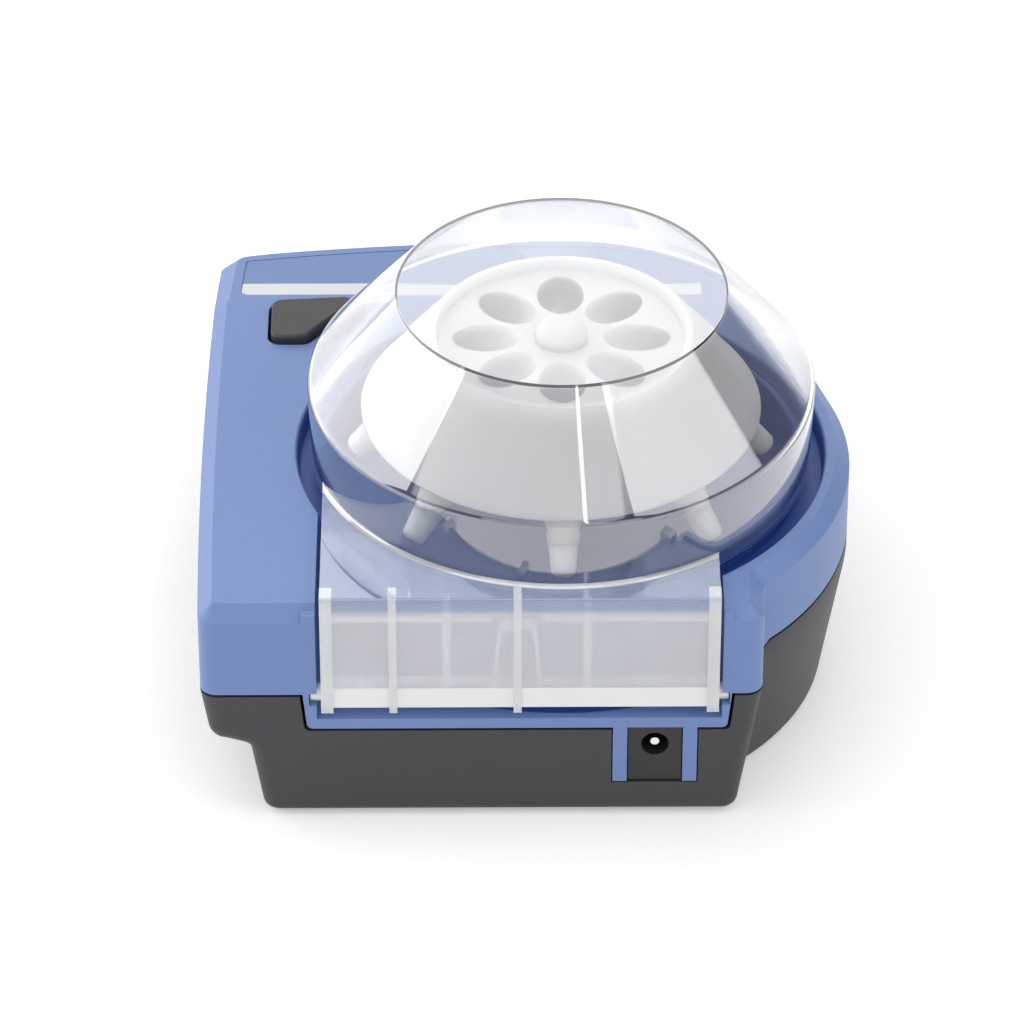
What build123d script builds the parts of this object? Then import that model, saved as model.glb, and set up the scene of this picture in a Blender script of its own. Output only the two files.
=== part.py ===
"""Mini centrifuge: rounded bench casing, clear hinged lid and a rotor with eight slanted tube pockets.

Lengths are in millimetres. The casing's front faces -Y and the lid's hinge is at the rear, on the +Y side.
Most sizes are counted from the rotor axis, which stands at (axis_x, axis_y).
"""
import os
from math import cos, hypot, radians, sin, sqrt, tan

from build123d import *

os.makedirs("parts", exist_ok=True)

# Fits between pieces
seat_gap = 0.02            # a piece pressed or screwed into its seat
running_gap = 0.05         # a shaft that turns in its bore, on the radius
assembly_gap = 0.3         # pieces that lie side by side
shadow_gap = 0.7           # dark line between the two halves of the casing

# Casing in plan, counted from the rotor axis
round_radius = 70.0
wing_reach = 87.0          # switch side wall at its widest
wing_rear_draw = 1.3       # how far the wall's rear end stands in from that
wing_front_draw = 1.8
rear_reach = 65.8
block_reach = 47.0         # side wall of the narrow block beside the hinge
front_reach = 102.3
front_bow_radius = 365.0
flank_angle = 18.0         # the straight flank between the round end and the front
front_round = 50.0
wing_corner_round = 7.0
rear_corner_round = 4.0
block_root_round = 3.0
least_round = 0.8
edge_break = 0.4           # bevel that breaks a moulding's sharp edge

# Casing in height
casing_top = 61.4
front_slope = 11.0
slope_start = 64.0
top_bevel = 3.4
wall = 2.6
parting_height = 40.8      # lower edge of the upper casing
rear_parting = 36.8        # the same edge across the rear
rear_parting_run = 4.0     # length of the slanted step between the two
rear_parting_start = 54.0
base_bottom = 1.0
base_band_bottom = 36.0    # below this the lower casing draws in
base_draft = 9.0
base_bottom_round = 2.5
lip_height = 2.0
lip_wall = 1.2

# Undercut below the switch side
undercut_depth = 15.6      # how far its foot stands in from the wing
undercut_inner_height = 20.3
undercut_draft = 9.0
undercut_angle = 17.0
undercut_round = 2.5
undercut_edge_round = 4.0

# Lid groove and rotor bowl in the upper casing
groove_radius = 64.0
groove_draft = 0.8
groove_floor = 56.4
rim_radius = 58.6
rim_height = 61.0
bowl_radius = 57.0
bowl_draft = 1.5
bowl_floor = 48.0
bowl_round = 5.0
collar_radius = 12.0
collar_bore = 8.0
collar_height = 52.0

# Hinge pocket
pocket_wing_side = 58.3    # rotor axis to the pocket's side wall, towards the switch
pocket_block_side = 37.4
pocket_floor = 29.5
pocket_bottom = 26.6
pocket_front = 27.0
pocket_wall = 2.4
pocket_wing_wall = 2.3
pocket_block_wall = 1.3
pocket_side_slant = 1.0
pocket_corner_round = 1.5

# Lid
lid_top = 107.3
lid_disc_radius = 39.5
lid_rim_radius = 61.05
lid_rim_height = 84.0
lid_skirt_radius = 61.9
lid_wall = 2.0
lid_bead_height = 65.6
lid_bead = 1.0
lid_bottom = 60.5
lid_side_gap = 1.1         # apron ends to the pocket's side walls, on the wing side
lid_block_gap = 0.8
lid_rim_drop = 0.9
lid_disc_inset = 0.9
lid_rim_round = 3.0
lid_disc_round = 0.8
apron_top = 64.4
apron_round = 1.2
apron_inner_round = 2.8
hinge_y = 62.5
hinge_z = 35.2
hinge_pin_radius = 2.2
hinge_pin_reach = 1.5      # how far a stub enters its socket
hinge_bar_bottom = 32.6
hinge_bar_top = 38.6
hinge_bar_depth = 6.0
hinge_bar_round = 2.6
socket_mouth = 3.7
rib_rise = 1.3
rib_end_width = 2.9
rib_width = 1.9
rib_run = 1.0              # how far a rib runs into the skirt
rib_bottom = 32.0
outer_rib_places = (40.2, 10.9)
inner_rib_places = (27.6, -5.5)
inner_rib_depth = 2.6
cup_centre = 10.95
cup_top_width = 9.1
cup_bottom_width = 11.8
cup_top = 56.0
cup_bottom = 37.0
cup_depth = 3.0
cup_wall = 1.0

# Rotor
rotor_rim_radius = 31.5
rotor_rim_height = 94.9
rotor_dish_height = 92.6
rotor_edge_radius = 48.5
rotor_edge_height = 74.0
rotor_wall = 1.8
rotor_rim_land = 1.5
rotor_rim_draft = 0.6
pocket_count = 8
pocket_reach = 18.0        # mouth centres from the rotor axis
pocket_angle = 45.0
tube_bore = 5.65
tube_wall = 1.2
tube_straight = 19.0
tube_length = 38.5
tube_tip_radius = 2.4
hub_radius = 7.0
hub_bottom = 57.0
knob_radius = 6.2
knob_rise = 4.2
knob_edge = 0.8

# Motor
spindle_radius = 2.0
motor_radius = 18.5
motor_bottom = 9.5
motor_height = 28.5
motor_can_wall = 1.2
motor_cap_thick = 2.0
bearing_radius = 5.5
bearing_width = 4.0
bearing_floor = 1.0
bearing_wall = 2.0
stator_bore = 10.6
stator_height = 14.0
stator_slots = 9
stator_slot = 2.4
stator_slot_depth = 4.0
magnet_radius = 10.0
motor_plate_radius = 30.0
motor_plate_thick = 1.6
damper_reach = 25.0
damper_radius = 5.0
damper_neck = 3.5
damper_flange = 1.6
damper_below = 4.0
motor_screw_reach = 12.0
motor_fixings = 3
damper_angle = 30.0
motor_screw_angle = 90.0
seal_drop = 1.0            # the seal's top below the collar's

# Fasteners and feet
screw_radius = 1.5
screw_head_radius = 3.2
screw_head_height = 2.2
boss_wall = 2.2
boss_split = 24.0          # height at which upper and lower bosses meet
screw_grip = 11.0          # thread in the upper boss
screw_recess = 9.0         # depth of the head's recess in the lower casing
board_screw_grip = 6.0
damper_screw_grip = 8.0
column_wall = 1.6
screw_foot_inset = 7.9     # wing screws to the undercut's foot
screw_rear_inset = 29.8
screw_front_inset = 26.3
screw_round_reach = 55.5   # screw of the round end, from the rotor axis
screw_round_angle = 152.0
screw_flank_reach = 65.5   # screw beside the flank
screw_flank_angle = 232.5
foot_radius = 6.0
foot_seat = 1.6
foot_rear_inset = 13.3
foot_wing_inset = 9.4      # from the undercut's foot
foot_block_inset = 17.0
foot_front_wing_inset = 27.4
foot_front_inset = 18.3
foot_flank_inset = 32.3    # the foot beside the flank, from the front

# Power rocker
rocker_inset = 15.5        # outer end to the wing's side wall
rocker_near = 44.1         # rotor axis to the side nearest the hinge
rocker_far = 60.8
rocker_share = 0.548       # where the hollowed side stands between the lid's groove and the wing
rocker_round = 2.6
rocker_gap = 0.8
rocker_rise = 3.1
rocker_skirt = 2.6
rocker_edge = 0.8
rocker_slope = 1.2         # the outer end stands lower by this
rocker_barrel = 2.4
rocker_pin_radius = 1.0
rocker_pivot_drop = 3.6
rocker_tongue = 6.0
well_wall = 1.8
well_depth = 9.0
switch_depth = 12.0
switch_slot = 6.0
switch_slot_depth = 6.0

# Power inlet
jack_x = -21.7
jack_z = 21.2
jack_hole = 3.3
jack_pin_radius = 1.05
jack_body_width = 9.0
jack_body_length = 12.5
jack_bore_length = 9.0
prong_width = 3.4
prong_bottom = 10.3
prong_inner = 6.6          # inlet centre to the inner side of a prong
panel_gap = 0.25
panel_thick = 2.0
panel_set_back = 0.6

# Circuit board
board_left = -36.0
board_right = 32.0
board_front = 27.0
board_rear = 60.0
board_top = 14.7
board_thick = 1.6
board_screw_inset = 3.5
board_screw_radius = 1.25
board_head_radius = 2.3
board_head_height = 1.5
board_post_radius = 3.2
capacitor_radius = 4.0
capacitor_height = 9.5
capacitor_places = ((6.0, 46.0), (17.0, 46.0))
chip_place = (-8.0, 40.0)
chip_size = (10.0, 7.0)
chip_height = 1.6
connector_place = (24.0, 40.0)
connector_size = (8.0, 5.0)
connector_height = 6.0

# Front label
label_thick = 0.35
label_depth = 0.45
label_frame = 2.9
label_gap = 0.2
label_rear = 65.9
label_round = 2.2

# Lid switch
plunger_x = 11.0
plunger_z = 42.0
plunger_radius = 1.5
lid_switch_width = 18.0
lid_switch_front = 41.5
lid_switch_rear = 52.0
lid_switch_height = 6.4
plunger_seat = 4.5

# Where the rotor axis stands, so that the origin is the middle of the footprint
axis_x = (round_radius - wing_reach) / 2
axis_y = (front_reach - rear_reach - rib_rise) / 2
rotor_axis = Axis((axis_x, axis_y, 0), (0, 0, 1))

# Places that follow the casing
undercut_foot = wing_reach - undercut_depth
rocker_outer = wing_reach - rocker_inset
rocker_arc = groove_radius + rocker_share * (wing_reach - groove_radius)
screw_round_turn = radians(screw_round_angle)
screw_flank_turn = radians(screw_flank_angle)
screw_places = (
    (undercut_foot - screw_foot_inset, rear_reach - screw_rear_inset),
    (undercut_foot - screw_foot_inset, screw_front_inset - front_reach),
    (screw_flank_reach * cos(screw_flank_turn), screw_flank_reach * sin(screw_flank_turn)),
    (screw_round_reach * cos(screw_round_turn), screw_round_reach * sin(screw_round_turn)),
)
foot_places = (
    (undercut_foot - foot_wing_inset, rear_reach - foot_rear_inset),
    (undercut_foot - foot_front_wing_inset, foot_front_inset - front_reach),
    (foot_block_inset - block_reach, foot_flank_inset - front_reach),
    (foot_block_inset - block_reach, rear_reach - foot_rear_inset),
)


def level(height):
    """Horizontal plane at a height, with its origin on the rotor axis."""
    return Plane(origin=(axis_x, axis_y, height))


def section(y=0.0):
    """Upright plane seen from the front: X to the right and Z up, at a distance from the rotor axis."""
    return Plane(origin=(axis_x, axis_y + y, 0), x_dir=(1, 0, 0), z_dir=(0, -1, 0))


def profile(x=0.0):
    """Upright plane seen from the switch side: Y to the right and Z up."""
    return Plane(origin=(axis_x + x, axis_y, 0), x_dir=(0, 1, 0), z_dir=(1, 0, 0))


def slope_height(y):
    """Height of the sloping front at a distance from the rotor axis."""
    return casing_top + min(0.0, y + slope_start) * tan(radians(front_slope))


def nearest(sketch, x, y):
    """The sketch's corner nearest a place."""
    return sketch.vertices().sort_by_distance((x, y, 0))[0]


def save(piece, label):
    """Label a finished piece and write its file."""
    piece.part.label = label
    export_step(piece.part, f"parts/{label}.step")


def casing_plan(inset, rear_rounds=True):
    """Plan outline of the casing, set in by a wall. The flank leaves the round end as a tangent."""
    end_radius = round_radius - inset
    front = front_reach - inset
    bow = front_bow_radius - inset
    block = block_reach - inset
    rear = rear_reach - inset
    lean = sin(radians(flank_angle))
    run = cos(radians(flank_angle))
    flank_start = (-end_radius * run, -end_radius * lean)
    to_centre_x = -flank_start[0]
    to_centre_y = bow - front - flank_start[1]
    along = to_centre_x * lean - to_centre_y * run
    flank_length = along + sqrt(along**2 - to_centre_x**2 - to_centre_y**2 + bow**2)
    flank_end = (flank_start[0] + flank_length * lean, flank_start[1] - flank_length * run)
    block_start = (-block, sqrt(end_radius**2 - block**2))
    wing_front = wing_reach - wing_front_draw - inset
    wing_rear = wing_reach - wing_rear_draw - inset
    front_corner = (wing_front, bow - front - sqrt(bow**2 - wing_front**2))
    wing_middle = (wing_reach - inset, (rear + front_corner[1]) / 2)
    with BuildSketch() as plan:
        with BuildLine():
            Line((-block, rear), (wing_rear, rear))
            ThreePointArc((wing_rear, rear), wing_middle, front_corner)
            ThreePointArc(front_corner, (0, -front), flank_end)
            Line(flank_end, flank_start)
            ThreePointArc(flank_start, (-end_radius, 0), block_start)
            Line(block_start, (-block, rear))
        make_face()
        fillet(nearest(plan, *flank_end), front_round - inset)
        fillet(nearest(plan, *front_corner), max(wing_corner_round - inset, least_round))
        fillet(nearest(plan, *block_start), block_root_round + inset)
        if rear_rounds:
            fillet(nearest(plan, wing_rear, rear), max(rear_corner_round - inset, least_round))
            fillet(nearest(plan, -block, rear), max(rear_corner_round - inset, least_round))
    return plan.sketch


# Plan of the rocker: three straight sides, and one hollowed side that runs round the lid
with BuildSketch() as rocker_plan:
    with BuildLine():
        near_x = sqrt(rocker_arc**2 - rocker_near**2)
        far_x = sqrt(rocker_arc**2 - rocker_far**2)
        bend = radians(-45)
        Line((rocker_outer, -rocker_near), (rocker_outer, -rocker_far))
        Line((rocker_outer, -rocker_far), (far_x, -rocker_far))
        ThreePointArc(
            (far_x, -rocker_far),
            (rocker_arc * cos(bend), rocker_arc * sin(bend)),
            (near_x, -rocker_near),
        )
        Line((near_x, -rocker_near), (rocker_outer, -rocker_near))
    make_face()
    fillet(rocker_plan.vertices(), rocker_round)

bowl_back_radius = bowl_radius + pocket_wall   # outer side of the bowl's wall, which closes the hinge pocket
rocker_pivot_x = (rocker_outer + sqrt(rocker_arc**2 - ((rocker_near + rocker_far) / 2) ** 2)) / 2
rocker_pivot_z = casing_top - rocker_pivot_drop
motor_top = motor_bottom + motor_height
boss_radius = screw_radius + boss_wall
well_near = rocker_near - rocker_gap - well_wall
well_far = rocker_far + rocker_gap + well_wall
lip_end = rear_parting_start - rear_parting_run - assembly_gap
jack_y = rear_reach - panel_set_back - panel_thick


def along_slope(low, high):
    """Slab along the top of the casing, between two offsets from its surface, in the sketch that is open."""
    with BuildLine() as slab_line:
        Polyline(
            (slope_start, casing_top + low),
            (-slope_start, casing_top + low),
            (-front_reach, slope_height(-front_reach) + low),
            (-front_reach, slope_height(-front_reach) + high),
            (-slope_start, casing_top + high),
            (slope_start, casing_top + high),
            close=True,
        )
    make_face(slab_line.edges())


def label_block(inset, low, high):
    """The front label's place: the casing's outline set in by its frame, and cut off behind the slope."""
    with BuildPart() as block:
        with BuildSketch(level(0)) as label_plan:
            add(casing_plan(top_bevel + label_frame + inset))
            with Locations((0, -label_rear - inset)):
                Rectangle(2 * wing_reach, front_reach, align=(Align.CENTER, Align.MAX), mode=Mode.INTERSECT)
            fillet(label_plan.vertices().group_by(Axis.Y)[-1], label_round)
        extrude(amount=casing_top)
        with BuildSketch(profile()):
            along_slope(low, high)
        extrude(amount=2 * wing_reach, both=True, mode=Mode.INTERSECT)
    return block.part


label_recess = label_block(0, -label_depth, lid_top - casing_top)

# Space inside the upper casing, below its top wall
with BuildPart() as upper_cavity:
    with BuildSketch(level(0)):
        add(casing_plan(wall))
    extrude(amount=casing_top - wall)
    with BuildSketch(profile()):
        with BuildLine():
            Polyline(
                (-slope_start, casing_top - wall),
                (-front_reach, slope_height(-front_reach) - wall),
                (-front_reach, casing_top),
                (-slope_start, casing_top),
                close=True,
            )
        make_face()
    extrude(amount=2 * wing_reach, both=True, mode=Mode.SUBTRACT)

# Space of the hinge pocket, open at the top and the rear, and closed towards the bowl by the bowl's wall
with BuildPart() as pocket_cavity:
    with BuildSketch(level(pocket_floor)):
        with Locations((pocket_wing_side, pocket_front)):
            Rectangle(
                pocket_wing_side + pocket_block_side,
                rear_reach,
                align=(Align.MAX, Align.MIN),
            )
        Circle(bowl_back_radius, mode=Mode.SUBTRACT)
    extrude(amount=casing_top)

def pocket_shell_outline(grow):
    """Outside of the hinge pocket, seen from the front, in the sketch that is open."""
    low = pocket_bottom - grow
    high = rear_parting - grow
    with BuildLine() as shell_line:
        Polyline(
            (-pocket_block_side - pocket_block_wall - grow, low),
            (pocket_wing_side + pocket_wing_wall + grow, low),
            (pocket_wing_side + pocket_wing_wall + pocket_side_slant + grow, high),
            (pocket_wing_side + pocket_wing_wall + pocket_side_slant + grow, casing_top - wall / 2),
            (-pocket_block_side - pocket_block_wall - pocket_side_slant - grow, casing_top - wall / 2),
            (-pocket_block_side - pocket_block_wall - pocket_side_slant - grow, high),
            close=True,
        )
    shell = make_face(shell_line.edges())
    fillet(shell.vertices().group_by(Axis.Y)[0], pocket_corner_round)


# Upper casing: hollow moulding with the bowl, the lid's groove, the hinge pocket and the prongs
with BuildPart() as upper_housing:
    with BuildSketch(level(rear_parting)):
        add(casing_plan(0))
    extrude(amount=casing_top - rear_parting)
    with BuildSketch(profile()):
        with BuildLine():
            Polyline(
                (-slope_start, casing_top),
                (-front_reach - wall, slope_height(-front_reach - wall)),
                (-front_reach - wall, casing_top + wall),
                (-slope_start, casing_top + wall),
                close=True,
            )
        make_face()
    extrude(amount=2 * wing_reach, both=True, mode=Mode.SUBTRACT)
    top_faces = upper_housing.faces().filter_by(lambda face: face.normal_at().Z > 0.9)
    top_edges = ShapeList(edge for face in top_faces for edge in face.edges())
    crease = top_edges.filter_by(Axis.X).sort_by_distance((axis_x, axis_y - slope_start, casing_top))[0]
    bevel_edges = ShapeList(
        edge for edge in top_edges if abs((edge @ 0.5).Y - (crease @ 0.5).Y) > 0.01
    )
    chamfer(bevel_edges, top_bevel)

    add(upper_cavity.part, mode=Mode.SUBTRACT)
    # The lower edge steps down across the rear
    with BuildSketch(profile()):
        with BuildLine():
            Polyline(
                (-2 * front_reach, 0),
                (-2 * front_reach, parting_height),
                (rear_parting_start - rear_parting_run, parting_height),
                (rear_parting_start, rear_parting),
                (rear_parting_start, 0),
                close=True,
            )
        make_face()
    extrude(amount=2 * wing_reach, both=True, mode=Mode.SUBTRACT)
    # Screw bosses
    for place in screw_places:
        boss_top = slope_height(place[1] - boss_radius) - wall / 2
        with BuildSketch(level(boss_split)):
            with Locations(place):
                Circle(boss_radius)
        extrude(amount=boss_top - boss_split)
    # Block from which the hinge pocket is cut
    with BuildSketch(section(rear_reach)):
        pocket_shell_outline(0)
    extrude(amount=rear_reach - pocket_front + pocket_wall)
    with BuildSketch(level(0)):
        Circle(bowl_radius)
    extrude(amount=bowl_floor - pocket_wall, mode=Mode.SUBTRACT)
    # Block from which the bowl and the groove are cut
    with BuildSketch(section()):
        with BuildLine():
            Polyline(
                (0, bowl_floor - pocket_wall),
                (bowl_back_radius, bowl_floor - pocket_wall),
                (bowl_back_radius, groove_floor - pocket_wall),
                (groove_radius + pocket_wall, groove_floor - pocket_wall),
                (groove_radius + pocket_wall, casing_top - wall / 2),
                (0, casing_top - wall / 2),
                close=True,
            )
        make_face()
    revolve(axis=rotor_axis)
    add(pocket_cavity.part, mode=Mode.SUBTRACT)
    with BuildSketch(section()):
        with BuildLine():
            Polyline(
                (0, rim_height),
                (rim_radius - edge_break, rim_height),
                (rim_radius, rim_height - edge_break),
                (rim_radius, groove_floor),
                (groove_radius - groove_draft, groove_floor),
                (groove_radius, casing_top - edge_break),
                (groove_radius + 2 * edge_break, casing_top + edge_break),
                (groove_radius + 2 * edge_break, lid_top),
                (0, lid_top),
                close=True,
            )
        make_face()
    revolve(axis=rotor_axis, mode=Mode.SUBTRACT)
    with BuildSketch(section()) as bowl_section:
        with BuildLine():
            Polyline(
                (0, 0),
                (collar_bore, 0),
                (collar_bore, collar_height),
                (collar_radius, collar_height),
                (collar_radius, bowl_floor),
                (bowl_radius - bowl_draft, bowl_floor),
                (bowl_radius, rim_height - edge_break),
                (bowl_radius + 2 * edge_break, rim_height + edge_break),
                (0, rim_height + edge_break),
                close=True,
            )
        make_face()
        fillet(nearest(bowl_section, bowl_radius - bowl_draft, bowl_floor), bowl_round)
    revolve(axis=rotor_axis, mode=Mode.SUBTRACT)

    # Snap sockets for the lid's stubs, open to the rear
    for side, outwards in ((pocket_wing_side, 1), (-pocket_block_side, -1)):
        with BuildSketch(profile(side)):
            with Locations((hinge_y, hinge_z)):
                Circle(hinge_pin_radius + running_gap)
                Rectangle(rear_reach, socket_mouth, align=(Align.MIN, Align.CENTER))
        extrude(amount=outwards * (hinge_pin_reach + assembly_gap), mode=Mode.SUBTRACT)
    # Prongs beside the power inlet
    for side in (-1, 1):
        with BuildSketch(level(prong_bottom)):
            with Locations((jack_x + side * (prong_inner + prong_width / 2), rear_reach)):
                Rectangle(prong_width, pocket_wall, align=(Align.CENTER, Align.MAX))
        extrude(amount=pocket_floor - prong_bottom)
    # Opening and well for the rocker, with the holes for its pin
    with BuildSketch(level(casing_top - well_depth)):
        offset(rocker_plan.sketch, amount=rocker_gap + well_wall)
    extrude(amount=well_depth - wall / 2)
    with BuildSketch(level(0)):
        offset(rocker_plan.sketch, amount=rocker_gap)
    extrude(amount=2 * casing_top, mode=Mode.SUBTRACT)
    with BuildSketch(section(-well_near)):
        with Locations((rocker_pivot_x, rocker_pivot_z)):
            Circle(rocker_pin_radius + seat_gap)
    extrude(amount=well_far - well_near, mode=Mode.SUBTRACT)
    # Pilot holes for the casing screws, and the hole for the lid switch's button
    with BuildSketch(level(0)):
        with Locations(*screw_places):
            Circle(screw_radius + seat_gap)
    extrude(amount=boss_split + screw_grip + assembly_gap, mode=Mode.SUBTRACT)
    with BuildSketch(section()):
        with Locations((plunger_x, plunger_z)):
            Circle(plunger_radius + running_gap)
    extrude(amount=-rear_reach, mode=Mode.SUBTRACT)
    add(label_recess, mode=Mode.SUBTRACT)
    # Rebate for the lower casing's lip
    with BuildSketch(level(0)):
        add(casing_plan(wall - lip_wall))
        add(casing_plan(wall), mode=Mode.SUBTRACT)
        with Locations((0, lip_end)):
            Rectangle(3 * wing_reach, 3 * wing_reach, align=(Align.CENTER, Align.MAX), mode=Mode.INTERSECT)
    extrude(amount=parting_height + lip_height, mode=Mode.SUBTRACT)
save(upper_housing, "upper_housing")


def base_form(plan, inset):
    """Lower casing's drafted form, set in by a wall, with the undercut below the switch side."""
    bottom = base_bottom + inset
    foot = undercut_foot - inset / cos(radians(undercut_draft))
    inner = undercut_inner_height + inset / cos(radians(undercut_angle))
    inner_x = foot + (inner - base_bottom) * tan(radians(undercut_draft))
    with BuildPart() as form:
        with BuildSketch(level(bottom)):
            add(plan)
        extrude(amount=base_band_bottom - bottom)
        upright = form.faces().filter_by(lambda face: abs(face.normal_at().Z) < 0.01)
        rear_face = upright.sort_by(Axis.Y)[-1]
        drafted = ShapeList(face for face in upright if face != rear_face)
        draft(drafted, level(base_band_bottom), -base_draft)
        with BuildSketch(level(base_band_bottom)):
            add(plan)
        extrude(amount=parting_height - shadow_gap - base_band_bottom)
        with BuildSketch(section(rear_reach)) as undercut:
            with BuildLine():
                Polyline(
                    (foot - base_bottom * tan(radians(undercut_draft)), 0),
                    (inner_x, inner),
                    (2 * wing_reach, inner + (2 * wing_reach - inner_x) * tan(radians(undercut_angle))),
                    (2 * wing_reach, 0),
                    close=True,
                )
            make_face()
            fillet(nearest(undercut, inner_x, inner), undercut_round)
        extrude(amount=2 * front_reach, mode=Mode.SUBTRACT)
    return form.part


base_outside = base_form(casing_plan(0, rear_rounds=False), 0)
base_inside = base_form(casing_plan(wall, rear_rounds=False), wall)

step_drop = parting_height - rear_parting
step_shift = shadow_gap * (hypot(rear_parting_run, step_drop) - rear_parting_run) / step_drop
floor_top = base_bottom + wall
column_radius = screw_head_radius + assembly_gap + column_wall
board_bottom = board_top - board_thick
post_top = motor_top - damper_below
damper_places = PolarLocations(damper_reach, motor_fixings, start_angle=damper_angle)
motor_screw_places = PolarLocations(motor_screw_reach, motor_fixings, start_angle=motor_screw_angle)
board_screw_places = (
    (board_left + board_screw_inset, board_front + board_screw_inset),
    (board_right - board_screw_inset, board_front + board_screw_inset),
    (board_left + board_screw_inset, board_rear - board_screw_inset),
    (board_right - board_screw_inset, board_rear - board_screw_inset),
)

# Lower casing: floor, walls, lip, notches for the hinge pocket and the inlet, screw columns and posts
with BuildPart() as base_shell:
    add(base_outside)
    rear_upright = base_shell.edges().filter_by(
        lambda edge: edge.bounding_box().min.Y > axis_y + rear_reach - seat_gap
        and edge.bounding_box().size.Z > wall
    )
    wing_upright = rear_upright.filter_by(
        lambda edge: edge.bounding_box().min.Z > undercut_inner_height and (edge @ 0.5).X > axis_x
    )
    fillet(rear_upright.filter_by(lambda edge: (edge @ 0.5).X < axis_x), rear_corner_round)
    fillet(wing_upright, rear_corner_round)
    wing_under = base_shell.edges().filter_by(
        lambda edge: edge.bounding_box().max.X > axis_x + undercut_foot + undercut_edge_round + wall
        and undercut_inner_height < (edge @ 0.5).Z < base_band_bottom - wall
        and edge.bounding_box().size.Z < 2 * wall
    )
    fillet(wing_under, undercut_edge_round)
    fillet(base_shell.faces().sort_by(Axis.Z)[0].edges(), base_bottom_round)
    add(base_inside, mode=Mode.SUBTRACT)
    # The rim steps down across the rear
    with BuildSketch(profile()):
        with BuildLine():
            Polyline(
                (rear_parting_start - rear_parting_run - step_shift, 2 * parting_height),
                (rear_parting_start - rear_parting_run - step_shift, parting_height - shadow_gap),
                (rear_parting_start - step_shift, rear_parting - shadow_gap),
                (2 * rear_reach, rear_parting - shadow_gap),
                (2 * rear_reach, 2 * parting_height),
                close=True,
            )
        make_face()
    extrude(amount=2 * wing_reach, both=True, mode=Mode.SUBTRACT)
    with BuildSketch(section(2 * rear_reach)):
        pocket_shell_outline(shadow_gap)
    extrude(amount=rear_reach + wall + panel_gap, mode=Mode.SUBTRACT)
    with BuildSketch(section(2 * rear_reach)):
        with Locations((jack_x, prong_bottom - assembly_gap)):
            Rectangle(
                2 * (prong_inner + prong_width + assembly_gap),
                rear_parting,
                align=(Align.CENTER, Align.MIN),
            )
    extrude(amount=rear_reach + wall + panel_gap, mode=Mode.SUBTRACT)
    # Lip that enters the upper casing
    with BuildSketch(level(parting_height - shadow_gap - lip_height)):
        add(casing_plan(wall - lip_wall + panel_gap))
        add(casing_plan(wall + assembly_gap), mode=Mode.SUBTRACT)
        with Locations((0, lip_end)):
            Rectangle(3 * wing_reach, 3 * wing_reach, align=(Align.CENTER, Align.MAX), mode=Mode.INTERSECT)
    extrude(amount=2 * lip_height + shadow_gap - assembly_gap)
    # Columns for the casing screws
    with BuildSketch(level(floor_top - wall / 2)):
        with Locations(*screw_places):
            Circle(column_radius)
    extrude(amount=boss_split - floor_top + wall / 2)
    with BuildSketch(level(0)):
        with Locations(*screw_places):
            Circle(screw_head_radius + assembly_gap)
    extrude(amount=base_bottom + screw_recess, mode=Mode.SUBTRACT)
    with BuildSketch(level(0)):
        with Locations(*screw_places):
            Circle(screw_radius + running_gap)
    extrude(amount=boss_split, mode=Mode.SUBTRACT)
    # Posts for the circuit board and the motor
    with BuildSketch(level(floor_top - wall / 2)):
        with Locations(*board_screw_places):
            Circle(board_post_radius)
    extrude(amount=board_bottom - floor_top + wall / 2)
    with BuildSketch(level(floor_top - wall / 2)):
        with damper_places:
            Circle(damper_neck)
    extrude(amount=post_top - floor_top + wall / 2)
    with BuildSketch(level(board_bottom)):
        with Locations(*board_screw_places):
            Circle(board_screw_radius + seat_gap)
    extrude(amount=-board_screw_grip - assembly_gap, mode=Mode.SUBTRACT)
    with BuildSketch(level(post_top)):
        with damper_places:
            Circle(screw_radius + seat_gap)
    extrude(amount=-damper_screw_grip - assembly_gap, mode=Mode.SUBTRACT)
    # Seats of the feet
    with BuildSketch(level(0)):
        with Locations(*foot_places):
            Circle(foot_radius + seat_gap)
    extrude(amount=base_bottom + foot_seat, mode=Mode.SUBTRACT)
save(base_shell, "base_shell")

# Label in its recess on the sloping front
label_body = label_block(label_gap, -label_depth, -label_depth + label_thick)
with BuildPart() as front_label:
    add(label_body)
save(front_label, "front_label")

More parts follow.
